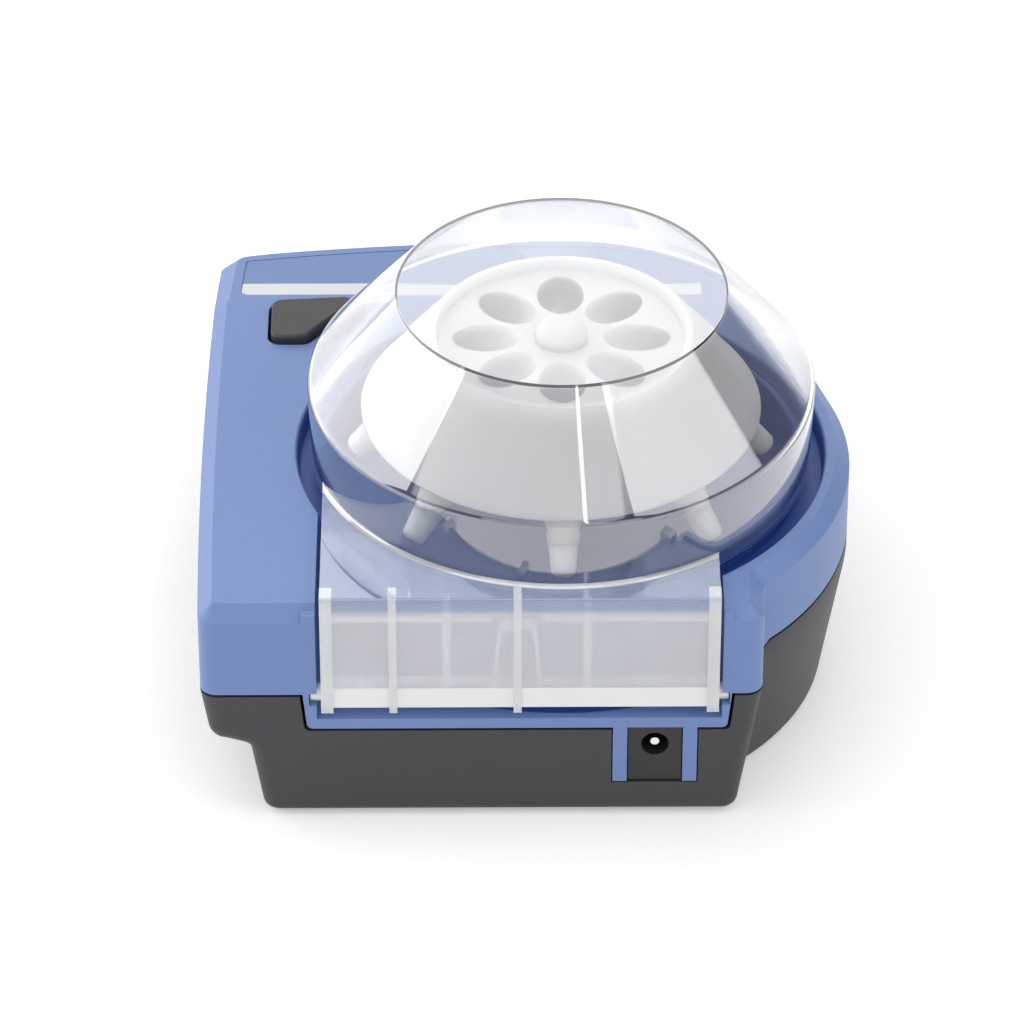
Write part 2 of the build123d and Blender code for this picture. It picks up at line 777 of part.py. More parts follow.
# Rocker: a cap with a skirt, a barrel round its pin and a tongue down into the switch
rocker_middle = (rocker_near + rocker_far) / 2
with BuildPart() as rocker:
    with BuildSketch(level(casing_top - rocker_skirt)):
        add(rocker_plan.sketch)
    extrude(amount=rocker_skirt + rocker_rise)
    with BuildSketch(section(-rocker_far)):
        with BuildLine():
            Polyline(
                (rocker_outer, casing_top + rocker_rise - rocker_slope),
                (far_x, casing_top + rocker_rise),
                (far_x, lid_top),
                (rocker_outer, lid_top),
                close=True,
            )
        make_face()
    extrude(amount=rocker_near - rocker_far, mode=Mode.SUBTRACT)
    fillet(rocker.faces().sort_by(Axis.Z)[-1].edges(), rocker_edge)
    with BuildSketch(section(-rocker_near - rocker_round / 2)):
        with Locations((rocker_pivot_x, rocker_pivot_z)):
            Circle(rocker_barrel)
        with Locations((rocker_pivot_x, rocker_pivot_z)):
            Rectangle(2 * rocker_barrel, casing_top - rocker_pivot_z, align=(Align.CENTER, Align.MIN))
    extrude(amount=rocker_far - rocker_near - rocker_round)
    with BuildSketch(section(-rocker_middle + rocker_tongue / 2)):
        with Locations((rocker_pivot_x, rocker_pivot_z)):
            Rectangle(rocker_barrel, rocker_tongue + rocker_barrel, align=(Align.CENTER, Align.MAX))
    extrude(amount=rocker_tongue)
    with BuildSketch(section(-rocker_near + wall)):
        with Locations((rocker_pivot_x, rocker_pivot_z)):
            Circle(rocker_pin_radius + running_gap)
    extrude(amount=rocker_far - rocker_near + 2 * wall, mode=Mode.SUBTRACT)
save(rocker, "rocker")

with BuildPart() as rocker_pin:
    with BuildSketch(section(-well_near)):
        with Locations((rocker_pivot_x, rocker_pivot_z)):
            Circle(rocker_pin_radius)
    extrude(amount=well_far - well_near)
save(rocker_pin, "rocker_pin")

# Switch under the rocker's well, with a slot for the tongue
switch_top = casing_top - well_depth
with BuildPart() as switch_body:
    with BuildSketch(level(switch_top)):
        offset(rocker_plan.sketch, amount=rocker_gap + well_wall)
    extrude(amount=-switch_depth)
    with BuildSketch(level(switch_top)):
        with Locations((rocker_pivot_x, -rocker_middle)):
            Rectangle(switch_slot, rocker_tongue + 2 * assembly_gap)
    extrude(amount=-switch_slot_depth, mode=Mode.SUBTRACT)
save(switch_body, "switch_body")

# Lid: blown cover turned about the rotor axis, with the hinge plate, its bar, stubs, ribs and cup
plate_wing_end = pocket_wing_side - lid_side_gap
plate_block_end = -pocket_block_side + lid_block_gap
plate_width = plate_wing_end - plate_block_end
plate_front = rear_reach - lid_wall
with BuildPart() as lid:
    with BuildSketch(section()) as lid_section:
        with BuildLine():
            Polyline(
                (0, lid_top),
                (lid_disc_radius, lid_top),
                (lid_rim_radius, lid_rim_height),
                (lid_skirt_radius, lid_bead_height + lid_bead),
                (lid_skirt_radius, lid_bottom),
                (lid_skirt_radius - lid_wall, lid_bottom),
                (lid_skirt_radius - lid_wall, lid_bead_height + lid_bead),
                (lid_rim_radius - lid_wall, lid_rim_height - lid_rim_drop),
                (lid_disc_radius - lid_disc_inset, lid_top - lid_wall),
                (0, lid_top - lid_wall),
                close=True,
            )
        make_face()
        fillet(nearest(lid_section, lid_rim_radius, lid_rim_height), lid_rim_round)
        fillet(nearest(lid_section, lid_rim_radius - lid_wall, lid_rim_height - lid_rim_drop), lid_rim_round)
        fillet(nearest(lid_section, lid_disc_radius, lid_top), lid_disc_round)
        with Locations((lid_skirt_radius, lid_bead_height)):
            Circle(lid_bead)
    revolve(axis=rotor_axis)
    # Hinge plate: a shelf out from the skirt and an upright plate down to the bar
    with BuildSketch(profile(plate_block_end)) as plate_section:
        with BuildLine():
            Polyline(
                (0, apron_top - lid_wall),
                (plate_front, apron_top - lid_wall),
                (plate_front, hinge_bar_top),
                (rear_reach - hinge_bar_depth, hinge_bar_top),
                (rear_reach - hinge_bar_depth, hinge_bar_bottom),
                (rear_reach, hinge_bar_bottom),
                (rear_reach, apron_top),
                (0, apron_top),
                close=True,
            )
        make_face()
        fillet(nearest(plate_section, plate_front, apron_top - lid_wall), apron_inner_round)
        fillet(nearest(plate_section, rear_reach, apron_top), apron_round)
        fillet(nearest(plate_section, rear_reach - hinge_bar_depth, hinge_bar_bottom), hinge_bar_round)
    extrude(amount=plate_width)
    # Ribs outside the plate, and shorter ones inside it
    end_places = (plate_wing_end - rib_end_width / 2, plate_block_end + rib_end_width / 2)
    rib_list = [(place, rib_end_width) for place in end_places]
    rib_list += [(place, rib_width) for place in outer_rib_places]
    for place, width in rib_list:
        with BuildSketch(profile(place - width / 2)):
            with BuildLine():
                Polyline(
                    (lid_skirt_radius - rib_run, apron_top - lid_wall / 2),
                    (rear_reach - lid_wall / 2, apron_top - lid_wall / 2),
                    (rear_reach - lid_wall / 2, rib_bottom),
                    (rear_reach + rib_rise, rib_bottom),
                    (rear_reach + rib_rise, apron_top + rib_rise),
                    (lid_skirt_radius - rib_run, apron_top + rib_rise),
                    close=True,
                )
            make_face()
        extrude(amount=width)
    for place in inner_rib_places:
        with BuildSketch(profile(place - rib_width / 2)):
            with BuildLine():
                Polyline(
                    (plate_front + lid_wall / 2, apron_top - lid_wall / 2),
                    (plate_front - inner_rib_depth, apron_top - lid_wall / 2),
                    (plate_front - inner_rib_depth, hinge_bar_top - lid_wall / 2),
                    (plate_front + lid_wall / 2, hinge_bar_top - lid_wall / 2),
                    close=True,
                )
            make_face()
        extrude(amount=rib_width)
    # Cup that surrounds the lid switch's button
    with BuildSketch(section(plate_front + lid_wall / 2)):
        with BuildLine():
            Polyline(
                (cup_centre - cup_bottom_width / 2, cup_bottom),
                (cup_centre - cup_top_width / 2, cup_top),
                (cup_centre + cup_top_width / 2, cup_top),
                (cup_centre + cup_bottom_width / 2, cup_bottom),
                (cup_centre + cup_bottom_width / 2 - cup_wall, cup_bottom),
                (cup_centre + cup_top_width / 2 - cup_wall, cup_top - cup_wall),
                (cup_centre - cup_top_width / 2 + cup_wall, cup_top - cup_wall),
                (cup_centre - cup_bottom_width / 2 + cup_wall, cup_bottom),
                close=True,
            )
        make_face()
    extrude(amount=cup_depth + lid_wall / 2)
    # Stubs that turn in the pocket's sockets
    stub_ends = ((pocket_wing_side, 1, plate_wing_end), (-pocket_block_side, -1, plate_block_end))
    for end, outwards, start in stub_ends:
        with BuildSketch(profile(start - outwards)):
            with Locations((hinge_y, hinge_z)):
                Circle(hinge_pin_radius)
        extrude(amount=end + outwards * hinge_pin_reach - start + outwards)
    # The space over the bowl and the rotor stays open
    with BuildSketch(section()):
        with BuildLine():
            Polyline(
                (0, 0),
                (lid_skirt_radius - lid_wall, 0),
                (lid_skirt_radius - lid_wall, lid_bead_height + lid_bead),
                (lid_disc_radius - lid_disc_inset, lid_bead_height + lid_bead),
                (0, lid_bead_height + lid_bead),
                close=True,
            )
        make_face()
    revolve(axis=rotor_axis, mode=Mode.SUBTRACT)
save(lid, "lid")

# One tube pocket: the sleeve's form and the space inside it
slant = radians(pocket_angle)
mouth = Plane(
    origin=(axis_x + pocket_reach, axis_y, rotor_dish_height),
    x_dir=(sin(slant), 0, -cos(slant)),
    z_dir=(0, -1, 0),
)
mouth_axis = Axis(mouth.origin, mouth.x_dir)


def tube_form(start, radius, tip_radius, length):
    """Round form with a tapered end, turned about the first pocket's axis."""
    with BuildPart() as form:
        with BuildSketch(mouth):
            with BuildLine():
                Polyline(
                    (-start, 0),
                    (-start, radius),
                    (tube_straight, radius),
                    (length, tip_radius),
                    (length, 0),
                    close=True,
                )
            make_face()
        revolve(axis=mouth_axis)
    return form.part


turns = [index * 360 / pocket_count for index in range(pocket_count)]
sleeve = tube_form(tube_bore, tube_bore + tube_wall, tube_tip_radius + tube_wall, tube_length)
tube_space = tube_form(4 * tube_bore, tube_bore, tube_tip_radius, tube_length - tube_wall)

# Rotor: dished cone with a hub and eight slanted sleeves
dish_radius = rotor_rim_radius - rotor_rim_land - rotor_rim_draft
cone_run = rotor_edge_radius - rotor_rim_radius
cone_drop = rotor_rim_height - rotor_edge_height
cone_across = rotor_wall * hypot(cone_run, cone_drop) / cone_drop
under_dish = rotor_dish_height - rotor_wall
under_radius = rotor_rim_radius - cone_across + (rotor_rim_height - under_dish) * cone_run / cone_drop
with BuildPart() as rotor:
    with BuildSketch(section()) as rotor_section:
        with BuildLine():
            Polyline(
                (0, hub_bottom),
                (hub_radius, hub_bottom),
                (hub_radius, under_dish),
                (under_radius, under_dish),
                (rotor_edge_radius - cone_across, rotor_edge_height),
                (rotor_edge_radius, rotor_edge_height),
                (rotor_rim_radius, rotor_rim_height),
                (rotor_rim_radius - rotor_rim_land, rotor_rim_height),
                (dish_radius, rotor_dish_height),
                (0, rotor_dish_height),
                close=True,
            )
        make_face()
        fillet(nearest(rotor_section, rotor_edge_radius, rotor_edge_height), edge_break)
        fillet(nearest(rotor_section, rotor_rim_radius, rotor_rim_height), edge_break)
    revolve(axis=rotor_axis)
    for turn in turns:
        add(sleeve.rotate(rotor_axis, turn))
    with BuildSketch(level(rotor_dish_height)):
        Circle(dish_radius)
    extrude(amount=rotor_rim_height, mode=Mode.SUBTRACT)
    for turn in turns:
        add(tube_space.rotate(rotor_axis, turn), mode=Mode.SUBTRACT)
    with BuildSketch(level(0)):
        Circle(spindle_radius + seat_gap)
    extrude(amount=lid_top, mode=Mode.SUBTRACT)
save(rotor, "rotor")

with BuildPart() as rotor_knob:
    with BuildSketch(section()) as knob_section:
        with BuildLine():
            Polyline(
                (0, rotor_dish_height),
                (knob_radius, rotor_dish_height),
                (knob_radius, rotor_dish_height + knob_rise),
                (0, rotor_dish_height + knob_rise),
                close=True,
            )
        make_face()
        fillet(nearest(knob_section, knob_radius, rotor_dish_height + knob_rise), knob_rise - knob_edge)
    revolve(axis=rotor_axis)
    with BuildSketch(level(rotor_dish_height)):
        Circle(spindle_radius + seat_gap)
    extrude(amount=knob_rise / 2, mode=Mode.SUBTRACT)
save(rotor_knob, "rotor_knob")

# Motor, from the bottom upwards
can_bottom = motor_bottom + motor_cap_thick
bearing_seat = bearing_radius + bearing_wall
lower_bearing = motor_bottom + bearing_floor
upper_bearing = motor_top - bearing_floor - bearing_width
with BuildPart() as spindle:
    with BuildSketch(level(lower_bearing + assembly_gap)):
        Circle(spindle_radius)
    extrude(amount=rotor_dish_height + knob_rise / 2 - assembly_gap - lower_bearing - assembly_gap)
save(spindle, "spindle")

with BuildPart() as motor_can:
    with BuildSketch(level(can_bottom)):
        Circle(motor_radius)
    extrude(amount=motor_top - can_bottom)
    with BuildSketch(level(can_bottom)):
        Circle(motor_radius - motor_can_wall)
    extrude(amount=motor_top - can_bottom - motor_cap_thick, mode=Mode.SUBTRACT)
    with BuildSketch(level(motor_top)):
        Circle(bearing_seat)
    extrude(amount=-bearing_floor - bearing_width)
    with BuildSketch(level(0)):
        Circle(bearing_radius + seat_gap)
    extrude(amount=motor_top - bearing_floor, mode=Mode.SUBTRACT)
    with BuildSketch(level(0)):
        Circle(bearing_radius - bearing_floor)
    extrude(amount=2 * motor_top, mode=Mode.SUBTRACT)
    with BuildSketch(level(0)):
        with motor_screw_places:
            Circle(board_screw_radius + seat_gap)
    extrude(amount=2 * motor_top, mode=Mode.SUBTRACT)
save(motor_can, "motor_can")

with BuildPart() as motor_end_cap:
    with BuildSketch(level(motor_bottom)):
        Circle(motor_radius)
    extrude(amount=motor_cap_thick)
    with BuildSketch(level(motor_bottom)):
        Circle(motor_radius - motor_can_wall - seat_gap)
        Circle(motor_radius - 2 * motor_can_wall, mode=Mode.SUBTRACT)
    extrude(amount=2 * motor_cap_thick)
    with BuildSketch(level(motor_bottom)):
        Circle(bearing_seat)
    extrude(amount=bearing_floor + bearing_width)
    with BuildSketch(level(lower_bearing)):
        Circle(bearing_radius + seat_gap)
    extrude(amount=2 * bearing_width, mode=Mode.SUBTRACT)
save(motor_end_cap, "motor_end_cap")

with BuildPart() as motor_bearings:
    for height in (lower_bearing, upper_bearing):
        with BuildSketch(level(height)):
            Circle(bearing_radius)
            Circle(spindle_radius + running_gap, mode=Mode.SUBTRACT)
        extrude(amount=bearing_width)
save(motor_bearings, "motor_bearings")

stator_middle = (lower_bearing + upper_bearing + bearing_width) / 2
with BuildPart() as motor_stator:
    with BuildSketch(level(stator_middle - stator_height / 2)):
        Circle(motor_radius - motor_can_wall - seat_gap)
        Circle(stator_bore, mode=Mode.SUBTRACT)
        with PolarLocations(stator_bore, stator_slots):
            Rectangle(stator_slot_depth * 2, stator_slot, mode=Mode.SUBTRACT)
    extrude(amount=stator_height)
save(motor_stator, "motor_stator")

with BuildPart() as motor_magnet:
    with BuildSketch(level(stator_middle - stator_height / 2)):
        Circle(magnet_radius)
        Circle(spindle_radius + seat_gap, mode=Mode.SUBTRACT)
    extrude(amount=stator_height)
save(motor_magnet, "motor_magnet")

with BuildPart() as motor_plate:
    with BuildSketch(level(motor_top)):
        Circle(motor_plate_radius)
        Circle(bearing_radius, mode=Mode.SUBTRACT)
        with motor_screw_places:
            Circle(board_screw_radius + running_gap, mode=Mode.SUBTRACT)
        with damper_places:
            Circle(damper_neck + seat_gap, mode=Mode.SUBTRACT)
    extrude(amount=motor_plate_thick)
save(motor_plate, "motor_plate")

plate_top = motor_top + motor_plate_thick
damper_top = plate_top + damper_flange
with BuildPart() as motor_dampers:
    with BuildSketch(level(post_top)):
        with damper_places:
            Circle(damper_radius)
    extrude(amount=damper_below)
    with BuildSketch(level(motor_top)):
        with damper_places:
            Circle(damper_neck)
    extrude(amount=motor_plate_thick)
    with BuildSketch(level(plate_top)):
        with damper_places:
            Circle(damper_radius)
    extrude(amount=damper_flange)
    with BuildSketch(level(0)):
        with damper_places:
            Circle(screw_radius + running_gap)
    extrude(amount=2 * motor_top, mode=Mode.SUBTRACT)
save(motor_dampers, "motor_dampers")

with BuildPart() as damper_screws:
    with BuildSketch(level(post_top - damper_screw_grip)):
        with damper_places:
            Circle(screw_radius)
    extrude(amount=damper_top - post_top + damper_screw_grip)
    with BuildSketch(level(damper_top)):
        with damper_places:
            Circle(screw_head_radius)
    extrude(amount=screw_head_height)
save(damper_screws, "damper_screws")

with BuildPart() as motor_screws:
    with BuildSketch(level(motor_top - motor_cap_thick)):
        with motor_screw_places:
            Circle(board_screw_radius)
    extrude(amount=motor_cap_thick + motor_plate_thick)
    with BuildSketch(level(plate_top)):
        with motor_screw_places:
            Circle(board_head_radius)
    extrude(amount=board_head_height)
save(motor_screws, "motor_screws")

with BuildPart() as spindle_seal:
    with BuildSketch(level(bowl_floor - pocket_wall)):
        Circle(collar_bore - running_gap)
        Circle(spindle_radius + 2 * running_gap, mode=Mode.SUBTRACT)
    extrude(amount=collar_height - bowl_floor + pocket_wall - seal_drop)
save(spindle_seal, "spindle_seal")

# Casing screws and feet
with BuildPart() as housing_screws:
    with BuildSketch(level(base_bottom + screw_recess)):
        with Locations(*screw_places):
            Circle(screw_head_radius)
    extrude(amount=-screw_head_height)
    with BuildSketch(level(base_bottom + screw_recess)):
        with Locations(*screw_places):
            Circle(screw_radius)
    extrude(amount=boss_split + screw_grip - base_bottom - screw_recess)
save(housing_screws, "housing_screws")

with BuildPart() as rubber_feet:
    with BuildSketch(level(0)):
        with Locations(*foot_places):
            Circle(foot_radius)
    extrude(amount=base_bottom + foot_seat)
    chamfer(rubber_feet.edges().group_by(Axis.Z)[0], base_bottom / 2)
save(rubber_feet, "rubber_feet")

# Power inlet behind its panel
with BuildPart() as jack_panel:
    with BuildSketch(section(jack_y + panel_thick)):
        with Locations((jack_x, prong_bottom)):
            Rectangle(
                2 * (prong_inner - panel_gap),
                pocket_bottom - panel_gap - prong_bottom,
                align=(Align.CENTER, Align.MIN),
            )
        with Locations((jack_x, jack_z)):
            Circle(jack_hole, mode=Mode.SUBTRACT)
    extrude(amount=panel_thick)
save(jack_panel, "jack_panel")

with BuildPart() as dc_jack:
    with BuildSketch(section(jack_y)):
        with Locations((jack_x, board_top)):
            Rectangle(
                jack_body_width,
                jack_z + jack_body_width / 2 - board_top,
                align=(Align.CENTER, Align.MIN),
            )
    extrude(amount=jack_body_length)
    with BuildSketch(section(jack_y)):
        with Locations((jack_x, jack_z)):
            Circle(jack_hole)
    extrude(amount=jack_bore_length, mode=Mode.SUBTRACT)
save(dc_jack, "dc_jack")

with BuildPart() as jack_pin:
    with BuildSketch(section(jack_y - jack_bore_length)):
        with Locations((jack_x, jack_z)):
            Circle(jack_pin_radius)
    extrude(amount=-jack_bore_length - panel_thick / 2)
save(jack_pin, "jack_pin")

# Circuit board and what stands on it
with BuildPart() as circuit_board:
    with BuildSketch(level(board_bottom)):
        with Locations(((board_left + board_right) / 2, (board_front + board_rear) / 2)):
            Rectangle(board_right - board_left, board_rear - board_front)
        with Locations(*board_screw_places):
            Circle(board_screw_radius + running_gap, mode=Mode.SUBTRACT)
    extrude(amount=board_thick)
save(circuit_board, "circuit_board")

with BuildPart() as board_screws:
    with BuildSketch(level(board_bottom - board_screw_grip)):
        with Locations(*board_screw_places):
            Circle(board_screw_radius)
    extrude(amount=board_thick + board_screw_grip)
    with BuildSketch(level(board_top)):
        with Locations(*board_screw_places):
            Circle(board_head_radius)
    extrude(amount=board_head_height)
save(board_screws, "board_screws")

with BuildPart() as capacitors:
    with BuildSketch(level(board_top)):
        with Locations(*capacitor_places):
            Circle(capacitor_radius)
    extrude(amount=capacitor_height)
save(capacitors, "capacitors")

with BuildPart() as driver_chip:
    with BuildSketch(level(board_top)):
        with Locations(chip_place):
            Rectangle(*chip_size)
    extrude(amount=chip_height)
save(driver_chip, "driver_chip")

with BuildPart() as board_connector:
    with BuildSketch(level(board_top)):
        with Locations(connector_place):
            Rectangle(*connector_size)
    extrude(amount=connector_height)
    with BuildSketch(level(board_top + connector_height)):
        with Locations(connector_place):
            Rectangle(connector_size[0] - 2 * cup_wall, connector_size[1] - 2 * cup_wall)
    extrude(amount=-connector_height / 2, mode=Mode.SUBTRACT)
save(board_connector, "board_connector")

# Lid switch under the bowl's floor, with its button through the bowl's wall
with BuildPart() as lid_switch:
    with BuildSketch(level(bowl_floor - pocket_wall)):
        with Locations((plunger_x, (lid_switch_front + lid_switch_rear) / 2)):
            Rectangle(lid_switch_width, lid_switch_rear - lid_switch_front)
    extrude(amount=-lid_switch_height)
    with BuildSketch(section(lid_switch_rear)):
        with Locations((plunger_x, plunger_z)):
            Circle(plunger_radius + running_gap)
    extrude(amount=plunger_seat, mode=Mode.SUBTRACT)
save(lid_switch, "lid_switch")

with BuildPart() as lid_plunger:
    with BuildSketch(section(lid_switch_rear - plunger_seat + assembly_gap)):
        with Locations((plunger_x, plunger_z)):
            Circle(plunger_radius)
    extrude(amount=-(plate_front - assembly_gap - lid_switch_rear + plunger_seat - assembly_gap))
save(lid_plunger, "lid_plunger")
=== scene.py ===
import bmesh
import bpy
from math import cos, pi, radians, sin, tan
from mathutils import Matrix, Vector


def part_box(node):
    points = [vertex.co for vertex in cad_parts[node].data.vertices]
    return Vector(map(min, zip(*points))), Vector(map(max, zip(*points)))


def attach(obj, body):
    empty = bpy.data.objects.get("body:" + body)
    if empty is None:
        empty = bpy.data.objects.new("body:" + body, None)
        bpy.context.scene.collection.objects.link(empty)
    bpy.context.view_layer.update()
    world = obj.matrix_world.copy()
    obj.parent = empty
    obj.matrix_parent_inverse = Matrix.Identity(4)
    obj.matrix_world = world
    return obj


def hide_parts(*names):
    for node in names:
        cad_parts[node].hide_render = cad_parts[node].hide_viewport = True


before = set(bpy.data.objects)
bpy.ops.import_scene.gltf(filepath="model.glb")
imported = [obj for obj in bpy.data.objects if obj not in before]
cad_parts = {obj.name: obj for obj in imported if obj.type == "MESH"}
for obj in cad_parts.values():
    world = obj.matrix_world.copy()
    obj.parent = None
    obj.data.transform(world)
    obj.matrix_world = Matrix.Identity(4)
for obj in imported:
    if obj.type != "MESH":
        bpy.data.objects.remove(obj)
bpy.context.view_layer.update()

# The bench: a pale sheet under the instrument that keeps its shadow. The camera, the lid and its
# reflections see it lifted towards white, more so far away, and nothing else is lit by that.


def added(name, data):
    """A new object in the scene."""
    piece = bpy.data.objects.new(name, data)
    bpy.context.scene.collection.objects.link(piece)
    return piece


def reckoned(tree, operation, *values, clamp=False):
    """A Math node's result. Each value is a number or another node's output."""
    node = tree.nodes.new("ShaderNodeMath")
    node.operation, node.use_clamp = operation, clamp
    for value, socket in zip(values, node.inputs):
        if isinstance(value, (int, float)):
            socket.default_value = value
        else:
            tree.links.new(value, socket)
    return node.outputs[0]


def ranged(tree, value, low, high, to_low=0.0, to_high=1.0):
    """A Map Range node's result: low to high becomes to_low to to_high."""
    node = tree.nodes.new("ShaderNodeMapRange")
    for name, number in (("From Min", low), ("From Max", high), ("To Min", to_low), ("To Max", to_high)):
        node.inputs[name].default_value = number
    tree.links.new(value, node.inputs["Value"])
    return node.outputs["Result"]


bench_half = 3.0
near_reach, far_reach = 0.35, 1.6
near_lift, far_lift = 0.34, 1.0
bench = bpy.data.meshes.new("bench")
bench_corners = [(x * bench_half, y * bench_half, 0) for x, y in ((-1, -1), (1, -1), (1, 1), (-1, 1))]
bench.from_pydata(bench_corners, [], [(0, 1, 2, 3)])
bench_piece = added("bench", bench)
bench_paper = bpy.data.materials.new("bench_paper")
bench_paper.use_nodes = True
bench_tree = bench_paper.node_tree
bench_shader = bench_tree.nodes["Principled BSDF"]
bench_shader.inputs["Base Color"].default_value = (0.88, 0.88, 0.885, 1)
bench_shader.inputs["Roughness"].default_value = 0.8
bench_shader.inputs["Specular IOR Level"].default_value = 0.1
bench_ray = bench_tree.nodes.new("ShaderNodeLightPath").outputs
bench_seen = bench_ray["Is Camera Ray"]
for kind in ("Is Transmission Ray", "Is Glossy Ray"):
    bench_seen = reckoned(bench_tree, "MAXIMUM", bench_seen, bench_ray[kind])
bench_seen = reckoned(bench_tree, "SUBTRACT", bench_seen, bench_ray["Diffuse Depth"], clamp=True)
bench_place = bench_tree.nodes.new("ShaderNodeTexCoord")
bench_reach = bench_tree.nodes.new("ShaderNodeVectorMath")
bench_reach.operation = "LENGTH"
bench_tree.links.new(bench_place.outputs["Object"], bench_reach.inputs[0])
bench_lift = ranged(bench_tree, bench_reach.outputs["Value"], near_reach, far_reach, near_lift, far_lift)
bench_shown = reckoned(bench_tree, "MULTIPLY", bench_seen, bench_lift)
bench_glow = bench_tree.nodes.new("ShaderNodeEmission")
bench_tree.links.new(bench_shown, bench_glow.inputs["Strength"])
bench_sum = bench_tree.nodes.new("ShaderNodeAddShader")
bench_tree.links.new(bench_shader.outputs[0], bench_sum.inputs[0])
bench_tree.links.new(bench_glow.outputs[0], bench_sum.inputs[1])
bench_tree.links.new(bench_sum.outputs[0], bench_tree.nodes["Material Output"].inputs["Surface"])
bench.materials.append(bench_paper)

# The studio round it: white to the camera, straight through the lid, and low down in reflections, where
# the backdrop meets the bench. To everything else it is a dim grey, so that it adds little light.
dim_level = 0.18
backdrop_low, backdrop_high = 0.0, 0.03
surround = bpy.data.worlds.new("surround")
bpy.context.scene.world = surround
surround.use_nodes = True
surround_tree = surround.node_tree
surround_ray = surround_tree.nodes.new("ShaderNodeLightPath").outputs
surround_through = reckoned(
    surround_tree,
    "SUBTRACT",
    surround_ray["Is Transmission Ray"],
    surround_ray["Glossy Depth"],
    clamp=True,
)
surround_seen = reckoned(surround_tree, "MAXIMUM", surround_ray["Is Camera Ray"], surround_through)
surround_way = surround_tree.nodes.new("ShaderNodeTexCoord")
surround_axes = surround_tree.nodes.new("ShaderNodeSeparateXYZ")
surround_tree.links.new(surround_way.outputs["Generated"], surround_axes.inputs[0])
backdrop = ranged(surround_tree, surround_axes.outputs["Z"], backdrop_low, backdrop_high, 1.0, 0.0)
backdrop = reckoned(surround_tree, "MULTIPLY", surround_ray["Is Glossy Ray"], backdrop)
surround_seen = reckoned(surround_tree, "MAXIMUM", surround_seen, backdrop)
surround_seen = reckoned(
    surround_tree, "SUBTRACT", surround_seen, surround_ray["Diffuse Depth"], clamp=True
)
surround_level = ranged(surround_tree, surround_seen, 0.0, 1.0, dim_level, 1.0)
surround_tree.links.new(surround_level, surround_tree.nodes["Background"].inputs["Strength"])
surround_tree.nodes["Background"].inputs["Color"].default_value = (1, 1, 1, 1)

# The lamps: soft boxes round the instrument with dark gaps between them, as for a catalogue picture. The
# clear lid mirrors them as broad pale bands, and a narrow strip as the bright line down its cone.
lamp_distance, lamp_aim = 1.3, Vector((0, 0, 0.06))
for name, turn, rise, width, height, level in (
    ("rear_box", 23, 43, 2.05, 0.85, 0.8),
    ("rear_strip", -11, 43, 0.03, 0.8, 3.0),
    ("low_rear_box", 0, 14, 1.6, 0.4, 0.9),
    ("wing_side_box", 108, 21, 1.65, 1.1, 1.9),
    ("round_side_box", -66, 37, 1.25, 0.8, 1.4),
    ("front_box", 180, 31, 1.0, 0.75, 1.5),
    ("overhead_box", 180, 86, 1.1, 1.1, 1.35),
):
    lamp = bpy.data.lights.new(name, "AREA")
    lamp.shape = "RECTANGLE"
    lamp.size, lamp.size_y = width, height
    lamp.energy = level * pi * width * height
    lamp_piece = added(name, lamp)
    turn, rise = radians(turn), radians(rise)
    away = Vector((sin(turn) * cos(rise), cos(turn) * cos(rise), sin(rise)))
    lamp_piece.location = lamp_aim + away * lamp_distance
    lamp_piece.rotation_euler = (-away).to_track_quat("-Z", "Y").to_euler()

# The camera: behind the instrument and above it, with a long lens. Its place, direction and focal length
# in pixels were fitted to the photograph's ellipses and edges.
focal_pixels, frame_pixels, sensor_width = 5787.9, 1022, 36.0
view_right = Vector((-0.99998, 0.00618, 0.0))
view_down = Vector((0.00367, 0.59403, -0.80443))
view_ahead = Vector((-0.00497, -0.80442, -0.59404))
camera = bpy.data.cameras.new("camera")
camera.sensor_width = sensor_width
camera.lens = focal_pixels * sensor_width / frame_pixels
camera.clip_end = 20.0
camera_piece = added("camera", camera)
stand = Matrix((view_right, -view_down, -view_ahead)).transposed().to_4x4()
stand.translation = Vector((0.01057, 1.15485, 0.88166))
camera_piece.matrix_world = stand
bpy.context.scene.camera = camera_piece
bpy.context.scene.view_settings.view_transform = "Standard"

# The lower casing: the bottom half of the shell, moulded in charcoal with a fine spark-eroded skin, and
# drawn in towards the bench. Only its large rounds show: the mould's parting edges are crisp.


def applied(piece):
    """Makes a piece's modifiers part of its mesh."""
    plain = bpy.data.meshes.new_from_object(piece.evaluated_get(bpy.context.evaluated_depsgraph_get()))
    piece.modifiers.clear()
    piece.data = plain
    return piece


def shaded_flat(piece):
    """Shades a piece smooth between sharp edges, with its large faces flat up to their edges."""
    piece.data.shade_smooth()
    piece.data.set_sharp_from_angle(angle=radians(32))
    flat_shading = piece.modifiers.new("flat_shading", "WEIGHTED_NORMAL")
    flat_shading.mode = "FACE_AREA"
    flat_shading.weight = 80
    flat_shading.keep_sharp = True
    return applied(piece)


def moulded_copy(node):
    """A shaded copy of a CAD node, with the triangles of each flat face joined."""
    join_distance, flat_within = 3e-5, radians(0.4)
    shape = bmesh.new()
    shape.from_mesh(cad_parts[node].data)
    bmesh.ops.remove_doubles(shape, verts=shape.verts, dist=join_distance)
    bmesh.ops.dissolve_limit(shape, angle_limit=flat_within, verts=shape.verts, edges=shape.edges)
    bmesh.ops.triangulate(shape, faces=[face for face in shape.faces if len(face.verts) > 4])
    mesh = bpy.data.meshes.new(node + "_moulding")
    shape.to_mesh(mesh)
    shape.free()
    if "custom_normal" in mesh.attributes:
        mesh.attributes.remove(mesh.attributes["custom_normal"])
    return shaded_flat(added(node + "_moulding", mesh))


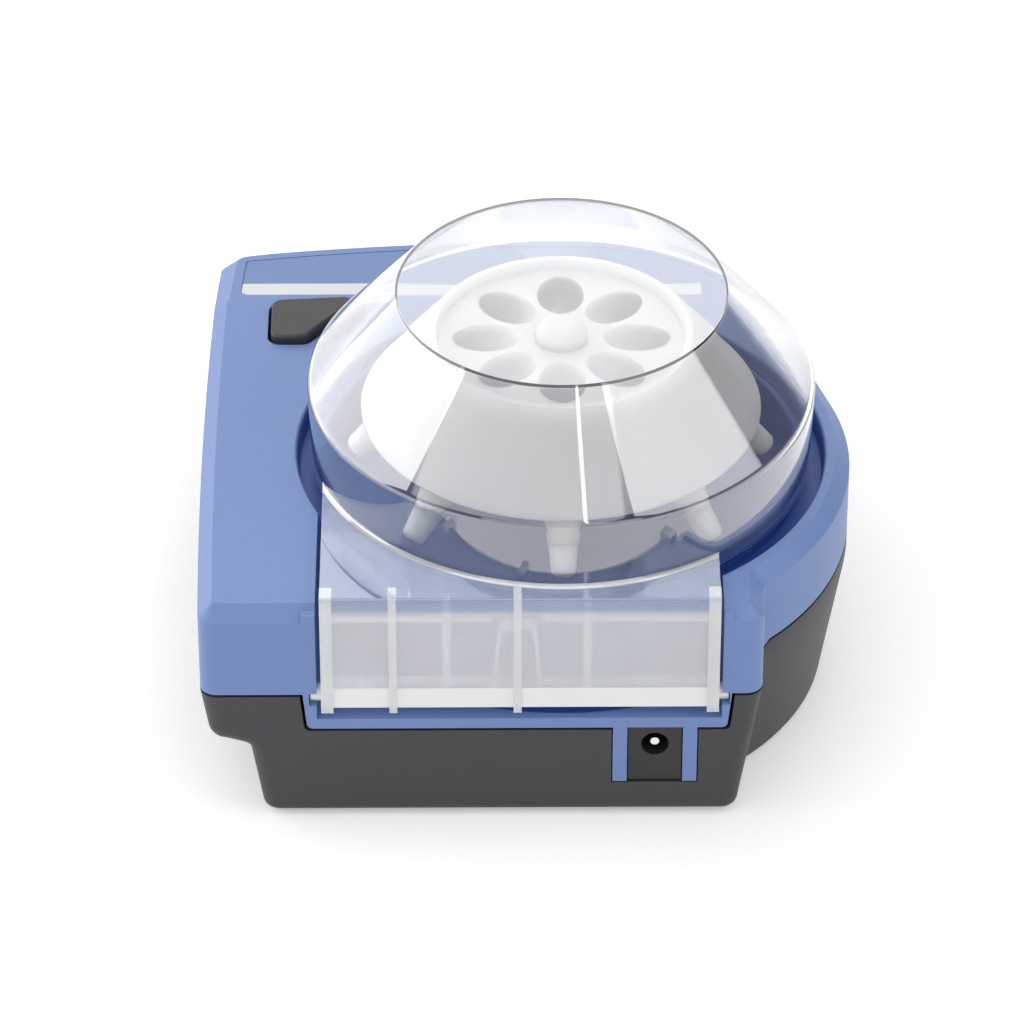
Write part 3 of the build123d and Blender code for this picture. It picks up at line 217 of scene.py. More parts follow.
def surface_group(name):
    """A shader group with its ends: size, roughness and colour in; colour, roughness and height out."""
    group = bpy.data.node_groups.new(name, "ShaderNodeTree")
    for socket, kind in (("Pattern Size", "Float"), ("Roughness", "Float"), ("Color", "Color")):
        group.interface.new_socket(socket, in_out="INPUT", socket_type="NodeSocket" + kind)
    for socket, kind in (("Color", "Color"), ("Roughness", "Float"), ("Height", "Float")):
        group.interface.new_socket(socket, in_out="OUTPUT", socket_type="NodeSocket" + kind)
    return group, group.nodes.new("NodeGroupInput"), group.nodes.new("NodeGroupOutput")


def noise(group, place, detail, size):
    """A noise on a place in a group, of a size that is a number or an output."""
    texture = group.nodes.new("ShaderNodeTexNoise")
    texture.inputs["Detail"].default_value = detail
    group.links.new(place, texture.inputs["Vector"])
    if isinstance(size, float):
        texture.inputs["Scale"].default_value = size
    else:
        group.links.new(size, texture.inputs["Scale"])
    return texture.outputs["Fac"]


def vary(group, given, result, pattern, gloss, darkest, lightest):
    """Lets a pattern change the given roughness by gloss either way, and the colour's tone."""
    gloss_change = ranged(group, pattern, 0.0, 1.0, -gloss, gloss)
    roughness = reckoned(group, "ADD", given.outputs["Roughness"], gloss_change)
    group.links.new(roughness, result.inputs["Roughness"])
    tinted = group.nodes.new("ShaderNodeVectorMath")
    tinted.operation = "SCALE"
    group.links.new(given.outputs["Color"], tinted.inputs[0])
    group.links.new(ranged(group, pattern, 0.0, 1.0, darkest, lightest), tinted.inputs["Scale"])
    group.links.new(tinted.outputs["Vector"], result.inputs["Color"])


def moulded_skin():
    """Shader group: a moulding's fine grain as height, and its faint changes of gloss and tone."""
    group, given, result = surface_group("moulded_skin")
    place = group.nodes.new("ShaderNodeTexCoord").outputs["Object"]
    grain = noise(group, place, detail=3.0, size=given.outputs["Pattern Size"])
    group.links.new(grain, result.inputs["Height"])
    cloud = noise(group, place, detail=4.0, size=22.0)
    vary(group, given, result, cloud, gloss=0.04, darkest=0.97, lightest=1.03)
    return group


def surfaced_material(name, group, color, roughness, pattern_size, depth, strength):
    """Material whose Principled shader takes tone, gloss and height from a surface group."""
    material = bpy.data.materials.new(name)
    material.use_nodes = True
    nodes, links = material.node_tree.nodes, material.node_tree.links
    shader = nodes["Principled BSDF"]
    surface = nodes.new("ShaderNodeGroup")
    surface.node_tree = group
    surface.inputs["Pattern Size"].default_value = pattern_size
    surface.inputs["Roughness"].default_value = roughness
    surface.inputs["Color"].default_value = (*color, 1)
    bump = nodes.new("ShaderNodeBump")
    bump.inputs["Strength"].default_value = strength
    bump.inputs["Distance"].default_value = depth
    links.new(surface.outputs["Height"], bump.inputs["Height"])
    links.new(bump.outputs["Normal"], shader.inputs["Normal"])
    links.new(surface.outputs["Color"], shader.inputs["Base Color"])
    links.new(surface.outputs["Roughness"], shader.inputs["Roughness"])
    return material


skin_group = moulded_skin()


def skinned_material(name, color, roughness, grain_size, grain_depth, strength=0.35):
    """A plastic or rubber with the moulded skin."""
    return surfaced_material(name, skin_group, color, roughness, grain_size, grain_depth, strength)


def dress(piece, material, body, slot, *replaced):
    """Gives a finished piece its material, ties it to its body and hides the CAD nodes it stands for."""
    piece.data.materials.clear()
    piece.data.materials.append(material)
    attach(piece, body)
    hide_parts(*replaced)


casing_dark = skinned_material("charcoal", (0.046, 0.048, 0.053), 0.5, 2000.0, 0.00005)
dress(moulded_copy("base_shell"), casing_dark, "casing", "dark_casing", "base_shell")

# The feet: four discs of black rubber pressed into seats in the floor of the lower casing, with a
# bevelled edge towards the bench.


def paint(material, *names):
    """Gives CAD nodes that are shown as they are a material."""
    for name in names:
        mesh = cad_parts[name].data
        mesh.materials.clear()
        mesh.materials.append(material)


black_rubber = skinned_material("black_rubber", (0.02, 0.02, 0.021), 0.75, 1500.0, 0.00008)
paint(black_rubber, "rubber_feet")

# The screws: plated steel with pan heads and cross recesses. Four hold the casing together from below,
# three carry the motor plate, three the motor and four the circuit board.


def turned_metal():
    """Shader group: lines left by the lathe or the brush, as height, with changes of gloss and tone."""
    group, given, result = surface_group("turned_metal")
    place = group.nodes.new("ShaderNodeTexCoord")
    stretch = group.nodes.new("ShaderNodeMapping")
    stretch.inputs["Scale"].default_value = (0.12, 0.12, 6.0)
    group.links.new(place.outputs["Object"], stretch.inputs["Vector"])
    lines = noise(group, stretch.outputs["Vector"], detail=3.0, size=given.outputs["Pattern Size"])
    group.links.new(lines, result.inputs["Height"])
    vary(group, given, result, lines, gloss=0.08, darkest=0.9, lightest=1.08)
    return group


metal_group = turned_metal()


def metal_material(name, color, roughness, line_size):
    """A metal with the lines of the turned metal group."""
    material = surfaced_material(
        name, metal_group, color, roughness, line_size, depth=0.00002, strength=0.2
    )
    material.node_tree.nodes["Principled BSDF"].inputs["Metallic"].default_value = 1.0
    return material


def shape_tree(name, *sizes):
    """A Geometry Nodes tree and its ends, with a geometry, the named sizes and a material going in."""
    tree = bpy.data.node_groups.new(name, "GeometryNodeTree")
    tree.interface.new_socket("Geometry", in_out="OUTPUT", socket_type="NodeSocketGeometry")
    tree.interface.new_socket("Geometry", in_out="INPUT", socket_type="NodeSocketGeometry")
    for size in sizes:
        kind = "NodeSocketInt" if size == "Count" else "NodeSocketFloat"
        tree.interface.new_socket(size, in_out="INPUT", socket_type=kind)
    tree.interface.new_socket("Material", in_out="INPUT", socket_type="NodeSocketMaterial")
    return tree, tree.nodes.new("NodeGroupInput"), tree.nodes.new("NodeGroupOutput")


def copy_to_points(tree, given, result, points, shape):
    """Ends a tree: the shape stands on each point as real geometry with the given material."""
    placed = tree.nodes.new("GeometryNodeInstanceOnPoints")
    plain = tree.nodes.new("GeometryNodeRealizeInstances")
    finish = tree.nodes.new("GeometryNodeSetMaterial")
    tree.links.new(points, placed.inputs["Points"])
    tree.links.new(shape, placed.inputs["Instance"])
    tree.links.new(placed.outputs["Instances"], plain.inputs["Geometry"])
    tree.links.new(plain.outputs["Geometry"], finish.inputs["Geometry"])
    tree.links.new(given.outputs["Material"], finish.inputs["Material"])
    tree.links.new(finish.outputs["Geometry"], result.inputs["Geometry"])
    return placed


def screw_tree():
    """Geometry Nodes: on each point a pan head with a cross recess above it and a shank below it."""
    tree, given, result = shape_tree(
        "pan_head_screws", "Head Radius", "Head Height", "Shank Radius", "Shank Length", "Turn Over"
    )
    nodes, links = tree.nodes, tree.links
    given_size = given.outputs

    def share(name, factor):
        return reckoned(tree, "MULTIPLY", given_size[name], factor)

    def raised(mesh, height):
        lift = nodes.new("GeometryNodeTransform")
        along = nodes.new("ShaderNodeCombineXYZ")
        links.new(height, along.inputs["Z"])
        links.new(along.outputs[0], lift.inputs["Translation"])
        links.new(mesh, lift.inputs["Geometry"])
        return lift.outputs["Geometry"]

    def disc(radius, height):
        body = nodes.new("GeometryNodeMeshCylinder")
        body.inputs["Vertices"].default_value = 36
        links.new(radius, body.inputs["Radius"])
        links.new(height, body.inputs["Depth"])
        return body.outputs["Mesh"]

    flange_share, crown_share, sunk_share = 0.6, 0.8, 0.499
    slot_long, slot_wide = 1.05, 0.24
    flange = disc(given_size["Head Radius"], share("Head Height", flange_share))
    flange = raised(flange, share("Head Height", flange_share / 2))
    crown = disc(share("Head Radius", crown_share), share("Head Height", crown_share))
    crown = raised(crown, share("Head Height", 1 - crown_share / 2))
    shank = disc(given_size["Shank Radius"], given_size["Shank Length"])
    shank = raised(shank, share("Shank Length", -sunk_share))
    whole = nodes.new("GeometryNodeMeshBoolean")
    whole.operation = "UNION"
    for part in (flange, crown, shank):
        links.new(part, whole.inputs["Mesh 2"])
    recessed = nodes.new("GeometryNodeMeshBoolean")
    recessed.operation = "DIFFERENCE"
    links.new(whole.outputs["Mesh"], recessed.inputs["Mesh 1"])
    for long_side, short_side in (("X", "Y"), ("Y", "X")):
        slot_size = nodes.new("ShaderNodeCombineXYZ")
        links.new(share("Head Radius", slot_long), slot_size.inputs[long_side])
        links.new(share("Head Radius", slot_wide), slot_size.inputs[short_side])
        links.new(given_size["Head Height"], slot_size.inputs["Z"])
        blade = nodes.new("GeometryNodeMeshCube")
        links.new(slot_size.outputs[0], blade.inputs["Size"])
        links.new(raised(blade.outputs["Mesh"], given_size["Head Height"]), recessed.inputs["Mesh 2"])
    placed = copy_to_points(tree, given, result, given_size["Geometry"], recessed.outputs["Mesh"])
    turn = nodes.new("ShaderNodeCombineXYZ")
    links.new(given_size["Turn Over"], turn.inputs["X"])
    links.new(turn.outputs[0], placed.inputs["Rotation"])
    return tree


def shaped_by(tree, name, start, sizes):
    """The mesh that a tree makes of a start mesh, with the tree's inputs set by name."""
    piece = added(name, start)
    making = piece.modifiers.new(name, "NODES")
    making.node_group = tree
    for item in tree.interface.items_tree:
        if item.in_out == "INPUT" and item.name in sizes:
            making[item.identifier] = sizes[item.name]
    mesh = applied(piece).data
    bpy.data.objects.remove(piece)
    return mesh


def solids_of(node):
    """Lowest and highest corner of each separate solid of a CAD node, in the order of their places."""
    shape = bmesh.new()
    shape.from_mesh(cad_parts[node].data)
    bmesh.ops.remove_doubles(shape, verts=shape.verts, dist=1e-6)
    left, found = set(shape.verts), []
    while left:
        front, solid = [left.pop()], []
        while front:
            vert = front.pop()
            solid.append(vert.co.copy())
            beside = {edge.other_vert(vert) for edge in vert.link_edges} & left
            left -= beside
            front += beside
        found.append([Vector([end(along) for along in zip(*solid)]) for end in (min, max)])
    shape.free()
    return sorted(found, key=lambda ends: tuple(ends[0]))


screws_tree = screw_tree()
plated_steel = metal_material("plated_steel", (0.56, 0.56, 0.58), 0.32, 900.0)


def fit_screws(node, head_radius, head_height, shank_radius, head_up=True):
    """Screws in place of a CAD node's, at the same places and of the same length."""
    solids, spots = solids_of(node), []
    for low, high in solids:
        seat = high.z - head_height if head_up else low.z + head_height
        spots.append(((low.x + high.x) / 2, (low.y + high.y) / 2, seat))
    places = bpy.data.meshes.new(node + "_places")
    places.from_pydata(spots, [], [])
    sizes = {
        "Head Radius": head_radius,
        "Head Height": head_height,
        "Shank Radius": shank_radius,
        "Shank Length": solids[0][1].z - solids[0][0].z - head_height,
        "Turn Over": 0.0 if head_up else pi,
        "Material": plated_steel,
    }
    screws = shaped_by(screws_tree, node + "_set", places, sizes)
    screws.shade_smooth()
    screws.set_sharp_from_angle(angle=radians(35))
    dress(added(node + "_set", screws), plated_steel, "casing", "steel", node)


large_screw, small_screw = (0.0032, 0.0022, 0.0015), (0.0023, 0.0015, 0.00125)
fit_screws("housing_screws", *large_screw, head_up=False)
fit_screws("damper_screws", *large_screw)
fit_screws("motor_screws", *small_screw)
fit_screws("board_screws", *small_screw)

# The motor and its mount: a drawn steel can with a black end cap, ball bearings and a stamped core, hung
# from an aluminium plate that rubber dampers hold on the posts of the lower casing.
drawn_steel = metal_material("drawn_steel", (0.5, 0.5, 0.51), 0.38, 260.0)
rolled_aluminium = metal_material("rolled_aluminium", (0.72, 0.73, 0.75), 0.36, 320.0)
stamped_core = metal_material("stamped_core", (0.2, 0.2, 0.21), 0.5, 700.0)
ground_magnet = metal_material("ground_magnet", (0.13, 0.13, 0.14), 0.45, 500.0)
black_nylon = skinned_material("black_nylon", (0.03, 0.03, 0.032), 0.48, 1800.0, 0.00004)
paint(drawn_steel, "motor_can", "motor_bearings")
paint(rolled_aluminium, "motor_plate")
paint(stamped_core, "motor_stator")
paint(ground_magnet, "motor_magnet")
paint(black_nylon, "motor_end_cap")
paint(black_rubber, "motor_dampers")

# The circuit board: green solder resist over fine tracks, with two sleeved capacitors, a driver chip and
# a white connector soldered to it. Four screws hold it on posts.
track_color, resist_color = (0.06, 0.26, 0.1, 1), (0.015, 0.12, 0.05, 1)
track_until, resist_from = 0.06, 0.1
solder_resist = bpy.data.materials.new("solder_resist")
solder_resist.use_nodes = True
board_tree = solder_resist.node_tree
board_shader = board_tree.nodes["Principled BSDF"]
board_shader.inputs["Coat Weight"].default_value = 0.4
board_place = board_tree.nodes.new("ShaderNodeTexCoord")
board_tracks = board_tree.nodes.new("ShaderNodeTexVoronoi")
board_tracks.distance = "MANHATTAN"
board_tracks.feature = "DISTANCE_TO_EDGE"
board_tracks.inputs["Scale"].default_value = 160.0
board_tree.links.new(board_place.outputs["Object"], board_tracks.inputs["Vector"])
board_color = board_tree.nodes.new("ShaderNodeMix")
board_color.data_type = "RGBA"
board_color.inputs["A"].default_value = track_color
board_color.inputs["B"].default_value = resist_color
beside_track = ranged(board_tree, board_tracks.outputs["Distance"], track_until, resist_from)
board_tree.links.new(beside_track, board_color.inputs["Factor"])
board_tree.links.new(board_color.outputs["Result"], board_shader.inputs["Base Color"])
capacitor_sleeve = skinned_material("capacitor_sleeve", (0.05, 0.06, 0.13), 0.3, 300.0, 0.00001)
white_nylon = skinned_material("white_nylon", (0.78, 0.78, 0.75), 0.42, 1500.0, 0.00003)
paint(solder_resist, "circuit_board")
paint(capacitor_sleeve, "capacitors")
paint(black_nylon, "driver_chip")
paint(white_nylon, "board_connector")

# The lid switch: a black nylon case behind the hinge pocket's wall, with a white button through the wall
# that the lid's hinge plate pushes in as the lid shuts.
paint(black_nylon, "lid_switch")
paint(white_nylon, "lid_plunger")

# The power inlet: a black panel held between the casing's two prongs, and the jack behind it with a
# plated pin in its middle.
inlet_black = skinned_material("inlet_black", (0.022, 0.022, 0.024), 0.46, 1800.0, 0.00003)
plated_pin = metal_material("plated_pin", (0.86, 0.86, 0.87), 0.16, 1200.0)
dress(moulded_copy("jack_panel"), inlet_black, "casing", "black_plastic", "jack_panel")
paint(inlet_black, "dc_jack")
paint(plated_pin, "jack_pin")

# The upper casing: one injection moulding in satin blue with the same fine skin. Its hinge pocket, rotor
# bowl, lid groove and the prongs beside the inlet are part of it. Bowl and groove are painted a deeper
# blue: painted shade, for the shadow that falls in them under the lid and the rotor.


def masked_tone(material, mask, color):
    """A second colour where the mask is 1: printed bands, painted shade and painted see-through tones.
    """
    tree = material.node_tree
    mixed = tree.nodes.new("ShaderNodeMix")
    mixed.data_type = "RGBA"
    mixed.inputs["B"].default_value = (*color, 1)
    skin = next(node for node in tree.nodes if node.type == "GROUP")
    tree.links.new(mask, mixed.inputs["Factor"])
    tree.links.new(skin.outputs["Color"], mixed.inputs["A"])
    tree.links.new(mixed.outputs["Result"], tree.nodes["Principled BSDF"].inputs["Base Color"])


rotor_low, rotor_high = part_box("rotor")
AXIS = Vector(((rotor_low.x + rotor_high.x) / 2, (rotor_low.y + rotor_high.y) / 2, 0.0))
shade_until, unshaded_from = 0.0637, 0.0641
casing_blue = skinned_material("satin_blue", (0.19, 0.29, 0.59), 0.42, 2600.0, 0.00003)
blue_tree = casing_blue.node_tree
bowl_place = blue_tree.nodes.new("ShaderNodeTexCoord")
bowl_across = blue_tree.nodes.new("ShaderNodeVectorMath")
bowl_across.operation = "MULTIPLY_ADD"
bowl_across.inputs[1].default_value = (1, 1, 0)
bowl_across.inputs[2].default_value = -AXIS
blue_tree.links.new(bowl_place.outputs["Object"], bowl_across.inputs[0])
bowl_reach = blue_tree.nodes.new("ShaderNodeVectorMath")
bowl_reach.operation = "LENGTH"
blue_tree.links.new(bowl_across.outputs["Vector"], bowl_reach.inputs[0])
# Painted shade: inside the groove's outer wall the blue turns deeper, for the shadow in bowl and groove.
bowl_shade_mask = ranged(blue_tree, bowl_reach.outputs["Value"], shade_until, unshaded_from, 1.0, 0.0)
masked_tone(casing_blue, bowl_shade_mask, (0.03, 0.085, 0.36))
dress(moulded_copy("upper_housing"), casing_blue, "casing", "blue_casing", "upper_housing")

# The front label: a film in a recess of the sloping front, printed a shade deeper than the casing, with
# a plain white band across it for the user's own marking.
band_x, band_y = (-0.0455, 0.0712), (-0.0554, -0.0484)
printed_film = skinned_material("printed_film", (0.18, 0.275, 0.55), 0.34, 5000.0, 0.00001)
film_tree = printed_film.node_tree
film_place = film_tree.nodes.new("ShaderNodeTexCoord")
film_axes = film_tree.nodes.new("ShaderNodeSeparateXYZ")
film_tree.links.new(film_place.outputs["Object"], film_axes.inputs[0])
within = [
    reckoned(film_tree, "COMPARE", film_axes.outputs[axis], (low + high) / 2, (high - low) / 2)
    for axis, (low, high) in (("X", band_x), ("Y", band_y))
]
masked_tone(printed_film, reckoned(film_tree, "MULTIPLY", *within), (0.82, 0.83, 0.85))
dress(moulded_copy("front_label"), printed_film, "casing", "label_film", "front_label")

# The power rocker: a black cap on a steel pin, with a fine grain on its top, over a switch with a slot
# for the cap's tongue.
rocker_black = skinned_material("rocker_black", (0.052, 0.052, 0.054), 0.44, 2400.0, 0.00005)
dress(moulded_copy("rocker"), rocker_black, "rocker_body", "black_plastic", "rocker")
paint(plated_steel, "rocker_pin")
paint(black_nylon, "switch_body")

# The rotor: one moulding in frosted, milky plastic that lets a little light through, with a dished top,
# eight slanted sleeves and a hub pressed on the steel spindle. A domed knob closes the hub.
frosted = skinned_material("frosted_plastic", (0.85, 0.86, 0.875), 0.36, 900.0, 0.00002, strength=0.2)
frosted_shader = frosted.node_tree.nodes["Principled BSDF"]
frosted_shader.inputs["Transmission Weight"].default_value = 0.15
frosted_shader.inputs["Subsurface Weight"].default_value = 1.0
frosted_shader.inputs["Subsurface Radius"].default_value = (1.0, 1.0, 1.0)
frosted_shader.inputs["Subsurface Scale"].default_value = 0.006
frosted_shader.inputs["IOR"].default_value = 1.45
dress(moulded_copy("rotor"), frosted, "spinner", "frosted_plastic", "rotor")
dress(moulded_copy("rotor_knob"), frosted, "spinner", "frosted_plastic", "rotor_knob")

# The sleeves' tips: each slanted sleeve runs on below its bore in a narrower rounded end, of the same
# frosted moulding, down to just above the floor of the bowl.


def closed_mesh(name, shape, merged=1e-7):
    """Ends a mesh: doubles merged and faces turned outwards."""
    bmesh.ops.remove_doubles(shape, verts=shape.verts, dist=merged)
    bmesh.ops.recalc_face_normals(shape, faces=shape.faces)
    mesh = bpy.data.meshes.new(name)
    shape.to_mesh(mesh)
    shape.free()
    return added(name, mesh)


sleeve_count, sleeve_slant, tip_steps = 8, radians(45), 36
mouth_reach, mouth_height = 0.018, 0.0926
tip_start, tip_start_radius = 0.0375, 0.0035
tip_round_start, tip_flat, tip_round = 0.0435, 0.0012, 0.0018
tip_outline = [(tip_start, 0.0), (tip_start, tip_start_radius), (tip_round_start, tip_flat + tip_round)]
tip_outline += [
    (tip_round_start + tip_round * sin(radians(t)), tip_flat + tip_round * cos(radians(t)))
    for t in range(15, 91, 15)
]
tip_outline += [(tip_round_start + tip_round, 0.0)]
tips = bmesh.new()
for index in range(sleeve_count):
    turn = Matrix.Rotation(2 * pi * index / sleeve_count, 3, "Z")
    mouth = AXIS + turn @ Vector((mouth_reach, 0, mouth_height))
    along = turn @ Vector((sin(sleeve_slant), 0, -cos(sleeve_slant)))
    across = turn @ Vector((cos(sleeve_slant), 0, sin(sleeve_slant)))
    ring = [tips.verts.new(mouth + along * depth + across * radius) for depth, radius in tip_outline]
    edges = [tips.edges.new(pair) for pair in zip(ring, ring[1:])]
    bmesh.ops.spin(
        tips, geom=ring + edges, cent=mouth, axis=along, angle=2 * pi, steps=tip_steps, use_merge=True
    )
sleeve_tips = shaded_flat(closed_mesh("sleeve_tips", tips, merged=1e-6))
dress(sleeve_tips, frosted, "spinner", "frosted_plastic", "rotor")

# The spindle: ground from steel, with the rotor on its upper end and the motor's magnet on its lower
# end. A rubber seal lies round it in the bowl's floor.
paint(plated_steel, "spindle")
paint(black_rubber, "spindle_seal")

# The lid's cover: moulded in clear plastic and polished, with a flat disc, a cone, and a skirt that
# stands in the casing's groove. It is turned here in fine facets, because light bends in it.


def rounded_outline(corners, steps=5):
    """Points of a closed outline; each corner is (across, up, radius), and a radius of 0 stays sharp."""
    points = []
    for index, (across, up, radius) in enumerate(corners):
        corner = Vector((across, up))
        if not radius:
            points.append(corner)
            continue
        before = (Vector(corners[index - 1][:2]) - corner).normalized()
        after = (Vector(corners[(index + 1) % len(corners)][:2]) - corner).normalized()
        half = before.angle(after) / 2
        centre = corner + (before + after).normalized() * radius / sin(half)
        start = corner + before * radius / tan(half) - centre
        turn = (corner + after * radius / tan(half) - centre).angle_signed(start)
        for step in range(steps + 1):
            spoke = start.copy()
            spoke.rotate(Matrix.Rotation(turn * step / steps, 2))
            points.append(centre + spoke)
    return points


def turned(name, outline):
    """A closed outline of (radius, height), in mm, turned about the rotor's axis."""
    turned_steps, no_area = 240, 1e-14
    shape = bmesh.new()
    ring = [shape.verts.new(AXIS + Vector((radius, 0, height)) / 1000) for radius, height in outline]
    edges = [shape.edges.new((ring[k], ring[(k + 1) % len(ring)])) for k in range(len(ring))]
    bmesh.ops.spin(
        shape,
        geom=ring + edges,
        cent=AXIS,
        axis=(0, 0, 1),
        angle=2 * pi,
        steps=turned_steps,
        use_merge=True,
    )
    flat = [face for face in shape.faces if face.calc_area() < no_area]
    bmesh.ops.delete(shape, geom=flat, context="FACES_ONLY")
    return closed_mesh(name, shape)


def polished(name, color, through):
    """Clear plastic with faint handling marks, and a pale shadow: most light goes through it."""
    material = skinned_material(
        name, color, roughness=0.02, grain_size=60.0, grain_depth=0.000004, strength=0.1
    )
    nodes, links = material.node_tree.nodes, material.node_tree.links
    shader = nodes["Principled BSDF"]
    shader.inputs["Transmission Weight"].default_value = through
    shader.inputs["IOR"].default_value = 1.5
    shader.inputs["Specular IOR Level"].default_value = 1.0
    shader.inputs["Coat Weight"].default_value = 1.0
    shader.inputs["Coat Roughness"].default_value = 0.02
    shader.inputs["Coat IOR"].default_value = 2.0
    path = nodes.new("ShaderNodeLightPath")
    shadow = nodes.new("ShaderNodeBsdfTransparent")
    shadow.inputs["Color"].default_value = (0.85, 0.85, 0.85, 1)
    mix = nodes.new("ShaderNodeMixShader")
    links.new(path.outputs["Is Shadow Ray"], mix.inputs["Fac"])
    links.new(shader.outputs[0], mix.inputs[1])
    links.new(shadow.outputs[0], mix.inputs[2])
    links.new(mix.outputs[0], nodes["Material Output"].inputs["Surface"])
    return material


wall, lid_top, disc_radius = 1.3, 107.3, 39.5
corner_radius, corner_height = 61.05, 82.0
foot_radius, foot_height = 60.3, 60.5
cover_outline = rounded_outline(
    [
        (0, lid_top, 0),
        (disc_radius, lid_top, 0.3),
        (corner_radius, corner_height, 3.5),
        (foot_radius, foot_height, 0.4),
        (foot_radius - wall, foot_height, 0.4),
        (corner_radius - wall, corner_height - 0.5, 2.3),
        (disc_radius - 0.4, lid_top - wall, 0.2),
        (0, lid_top - wall, 0),
    ],
    steps=9,
)
clear_cover = turned("clear_cover", cover_outline)
clear_cover.data.shade_smooth()
clear_cover.data.set_sharp_from_angle(angle=radians(30))
cover_clear = polished("cover_clear", (0.985, 0.99, 0.995), 1.0)
dress(clear_cover, cover_clear, "lid_body", "clear_plastic", "lid")

# The hinge plate: one with the cover, but with a faintly hazed face. Its milky white is partly real haze
# and partly painted reflection of the pale bench. An apron runs out from the skirt and bends down into
# the upright plate, whose lower edge is the hinge bar. The apron is painted a bluer tone: painted
# see-through, for the blue casing under it.


def extruded(name, outline, start, end, facing="X"):
    """A closed outline in mm, carried along X (it then holds Y and Z) or along Y (X and Z)."""
    shape = bmesh.new()

    def spot(across, up, along):
        flat = (along, across, up) if facing == "X" else (across, along, up)
        return AXIS + Vector(flat) / 1000

    face = shape.faces.new([shape.verts.new(spot(across, up, start)) for across, up in outline])
    grown = bmesh.ops.extrude_face_region(shape, geom=[face])["geom"]
    shift = spot(0, 0, end) - spot(0, 0, start)
    bmesh.ops.translate(shape, verts=[v for v in grown if isinstance(v, bmesh.types.BMVert)], vec=shift)
    return closed_mesh(name, shape)


def combined(piece, other, operation):
    """Joins or cuts one closed piece with another, which is used up."""
    joining = piece.modifiers.new("joining", "BOOLEAN")
    joining.operation = operation
    joining.solver = "EXACT"
    joining.object = other
    applied(piece)
    bpy.data.objects.remove(other)
    return piece


plate_start, plate_end = -36.6, 57.2
plate_inside, plate_outside = 63.8, 65.8
apron_start, apron_under, apron_top = 10, 62.4, 64.4
bar_low, bar_high = 32.6, 38.6
gap = 0.02
seam = foot_radius + 0.2
cut_low, cut_high, cut_far = 60, 70, 70
face_until, apron_from = 0.0605, 0.0615
hinge_plate = extruded(
    "hinge_plate",
    rounded_outline(
        [
            (apron_start, apron_under, 0),
            (plate_inside, apron_under, 0.5),
            (plate_inside, bar_high + gap, 0),
            (plate_outside, bar_high + gap, 0),
            (plate_outside, apron_top, 1.2),
            (apron_start, apron_top, 0),
        ]
    ),
    plate_start,
    plate_end,
)
cover_space = turned("plate_cut", [(0, cut_low), (seam, cut_low), (seam, cut_high), (0, cut_high)])
hinge_plate = shaded_flat(combined(hinge_plate, cover_space, "DIFFERENCE"))
plate_clear = polished("plate_hazed", (0.96, 0.97, 1.0), 0.66)
plate_tree = plate_clear.node_tree
plate_place = plate_tree.nodes.new("ShaderNodeTexCoord")
plate_axes = plate_tree.nodes.new("ShaderNodeSeparateXYZ")
plate_tree.links.new(plate_place.outputs["Object"], plate_axes.inputs[0])
# Painted see-through: above the bend the plate turns bluer, for the blue casing seen through the apron.
apron_painted_tone = ranged(plate_tree, plate_axes.outputs["Z"], face_until, apron_from)
masked_tone(plate_clear, apron_painted_tone, (0.42, 0.52, 0.78))
dress(hinge_plate, plate_clear, "lid_body", "clear_plastic", "lid")

# The lid's hinge bar: the thick lower edge of the plate. It lets little light through, so its near-white
# shows as the bright band the light makes on it: a painted highlight. Two stubs on its ends snap into
# the casing's pocket.
bar_inside = 59.8
bar_outline = rounded_outline(
    [
        (bar_inside, bar_high, 0.6),
        (bar_inside, bar_low, 2.6),
        (plate_outside, bar_low, 0.5),
        (plate_outside, bar_high, 0),
    ]
)
hinge_bar = extruded("hinge_bar", bar_outline, plate_start, plate_end)
stub_back, stub_height, stub_radius = 62.5, 35.2, 2.2
stub_root, wing_stub_end, round_stub_end = 1.0, 59.8, -38.9
stub_outline = [
    (stub_back + stub_radius * cos(radians(t)), stub_height + stub_radius * sin(radians(t)))
    for t in range(0, 360, 10)
]
for start, end in ((plate_end - stub_root, wing_stub_end), (plate_start + stub_root, round_stub_end)):
    hinge_bar = combined(hinge_bar, extruded("stub", stub_outline, start, end), "UNION")
# Painted highlight: the bar lets little light through, so its near-white reads as a bright band.
thick_clear = polished("thick_clear", (0.98, 0.985, 0.99), 0.08)
dress(shaded_flat(hinge_bar), thick_clear, "lid_body", "clear_plastic", "lid")

# The lid's ribs: four run over the apron and down the outside of the plate, two shorter ones and a bead
# stiffen its inside, a cup there surrounds the lid switch's button, and a fillet lies along the skirt.
# Painted reflection: the ribs let less light through than the cover, so their near-white stands for the
# white that their sides mirror.
rib_clear = polished("rib_clear", (0.95, 0.96, 0.97), 0.6)


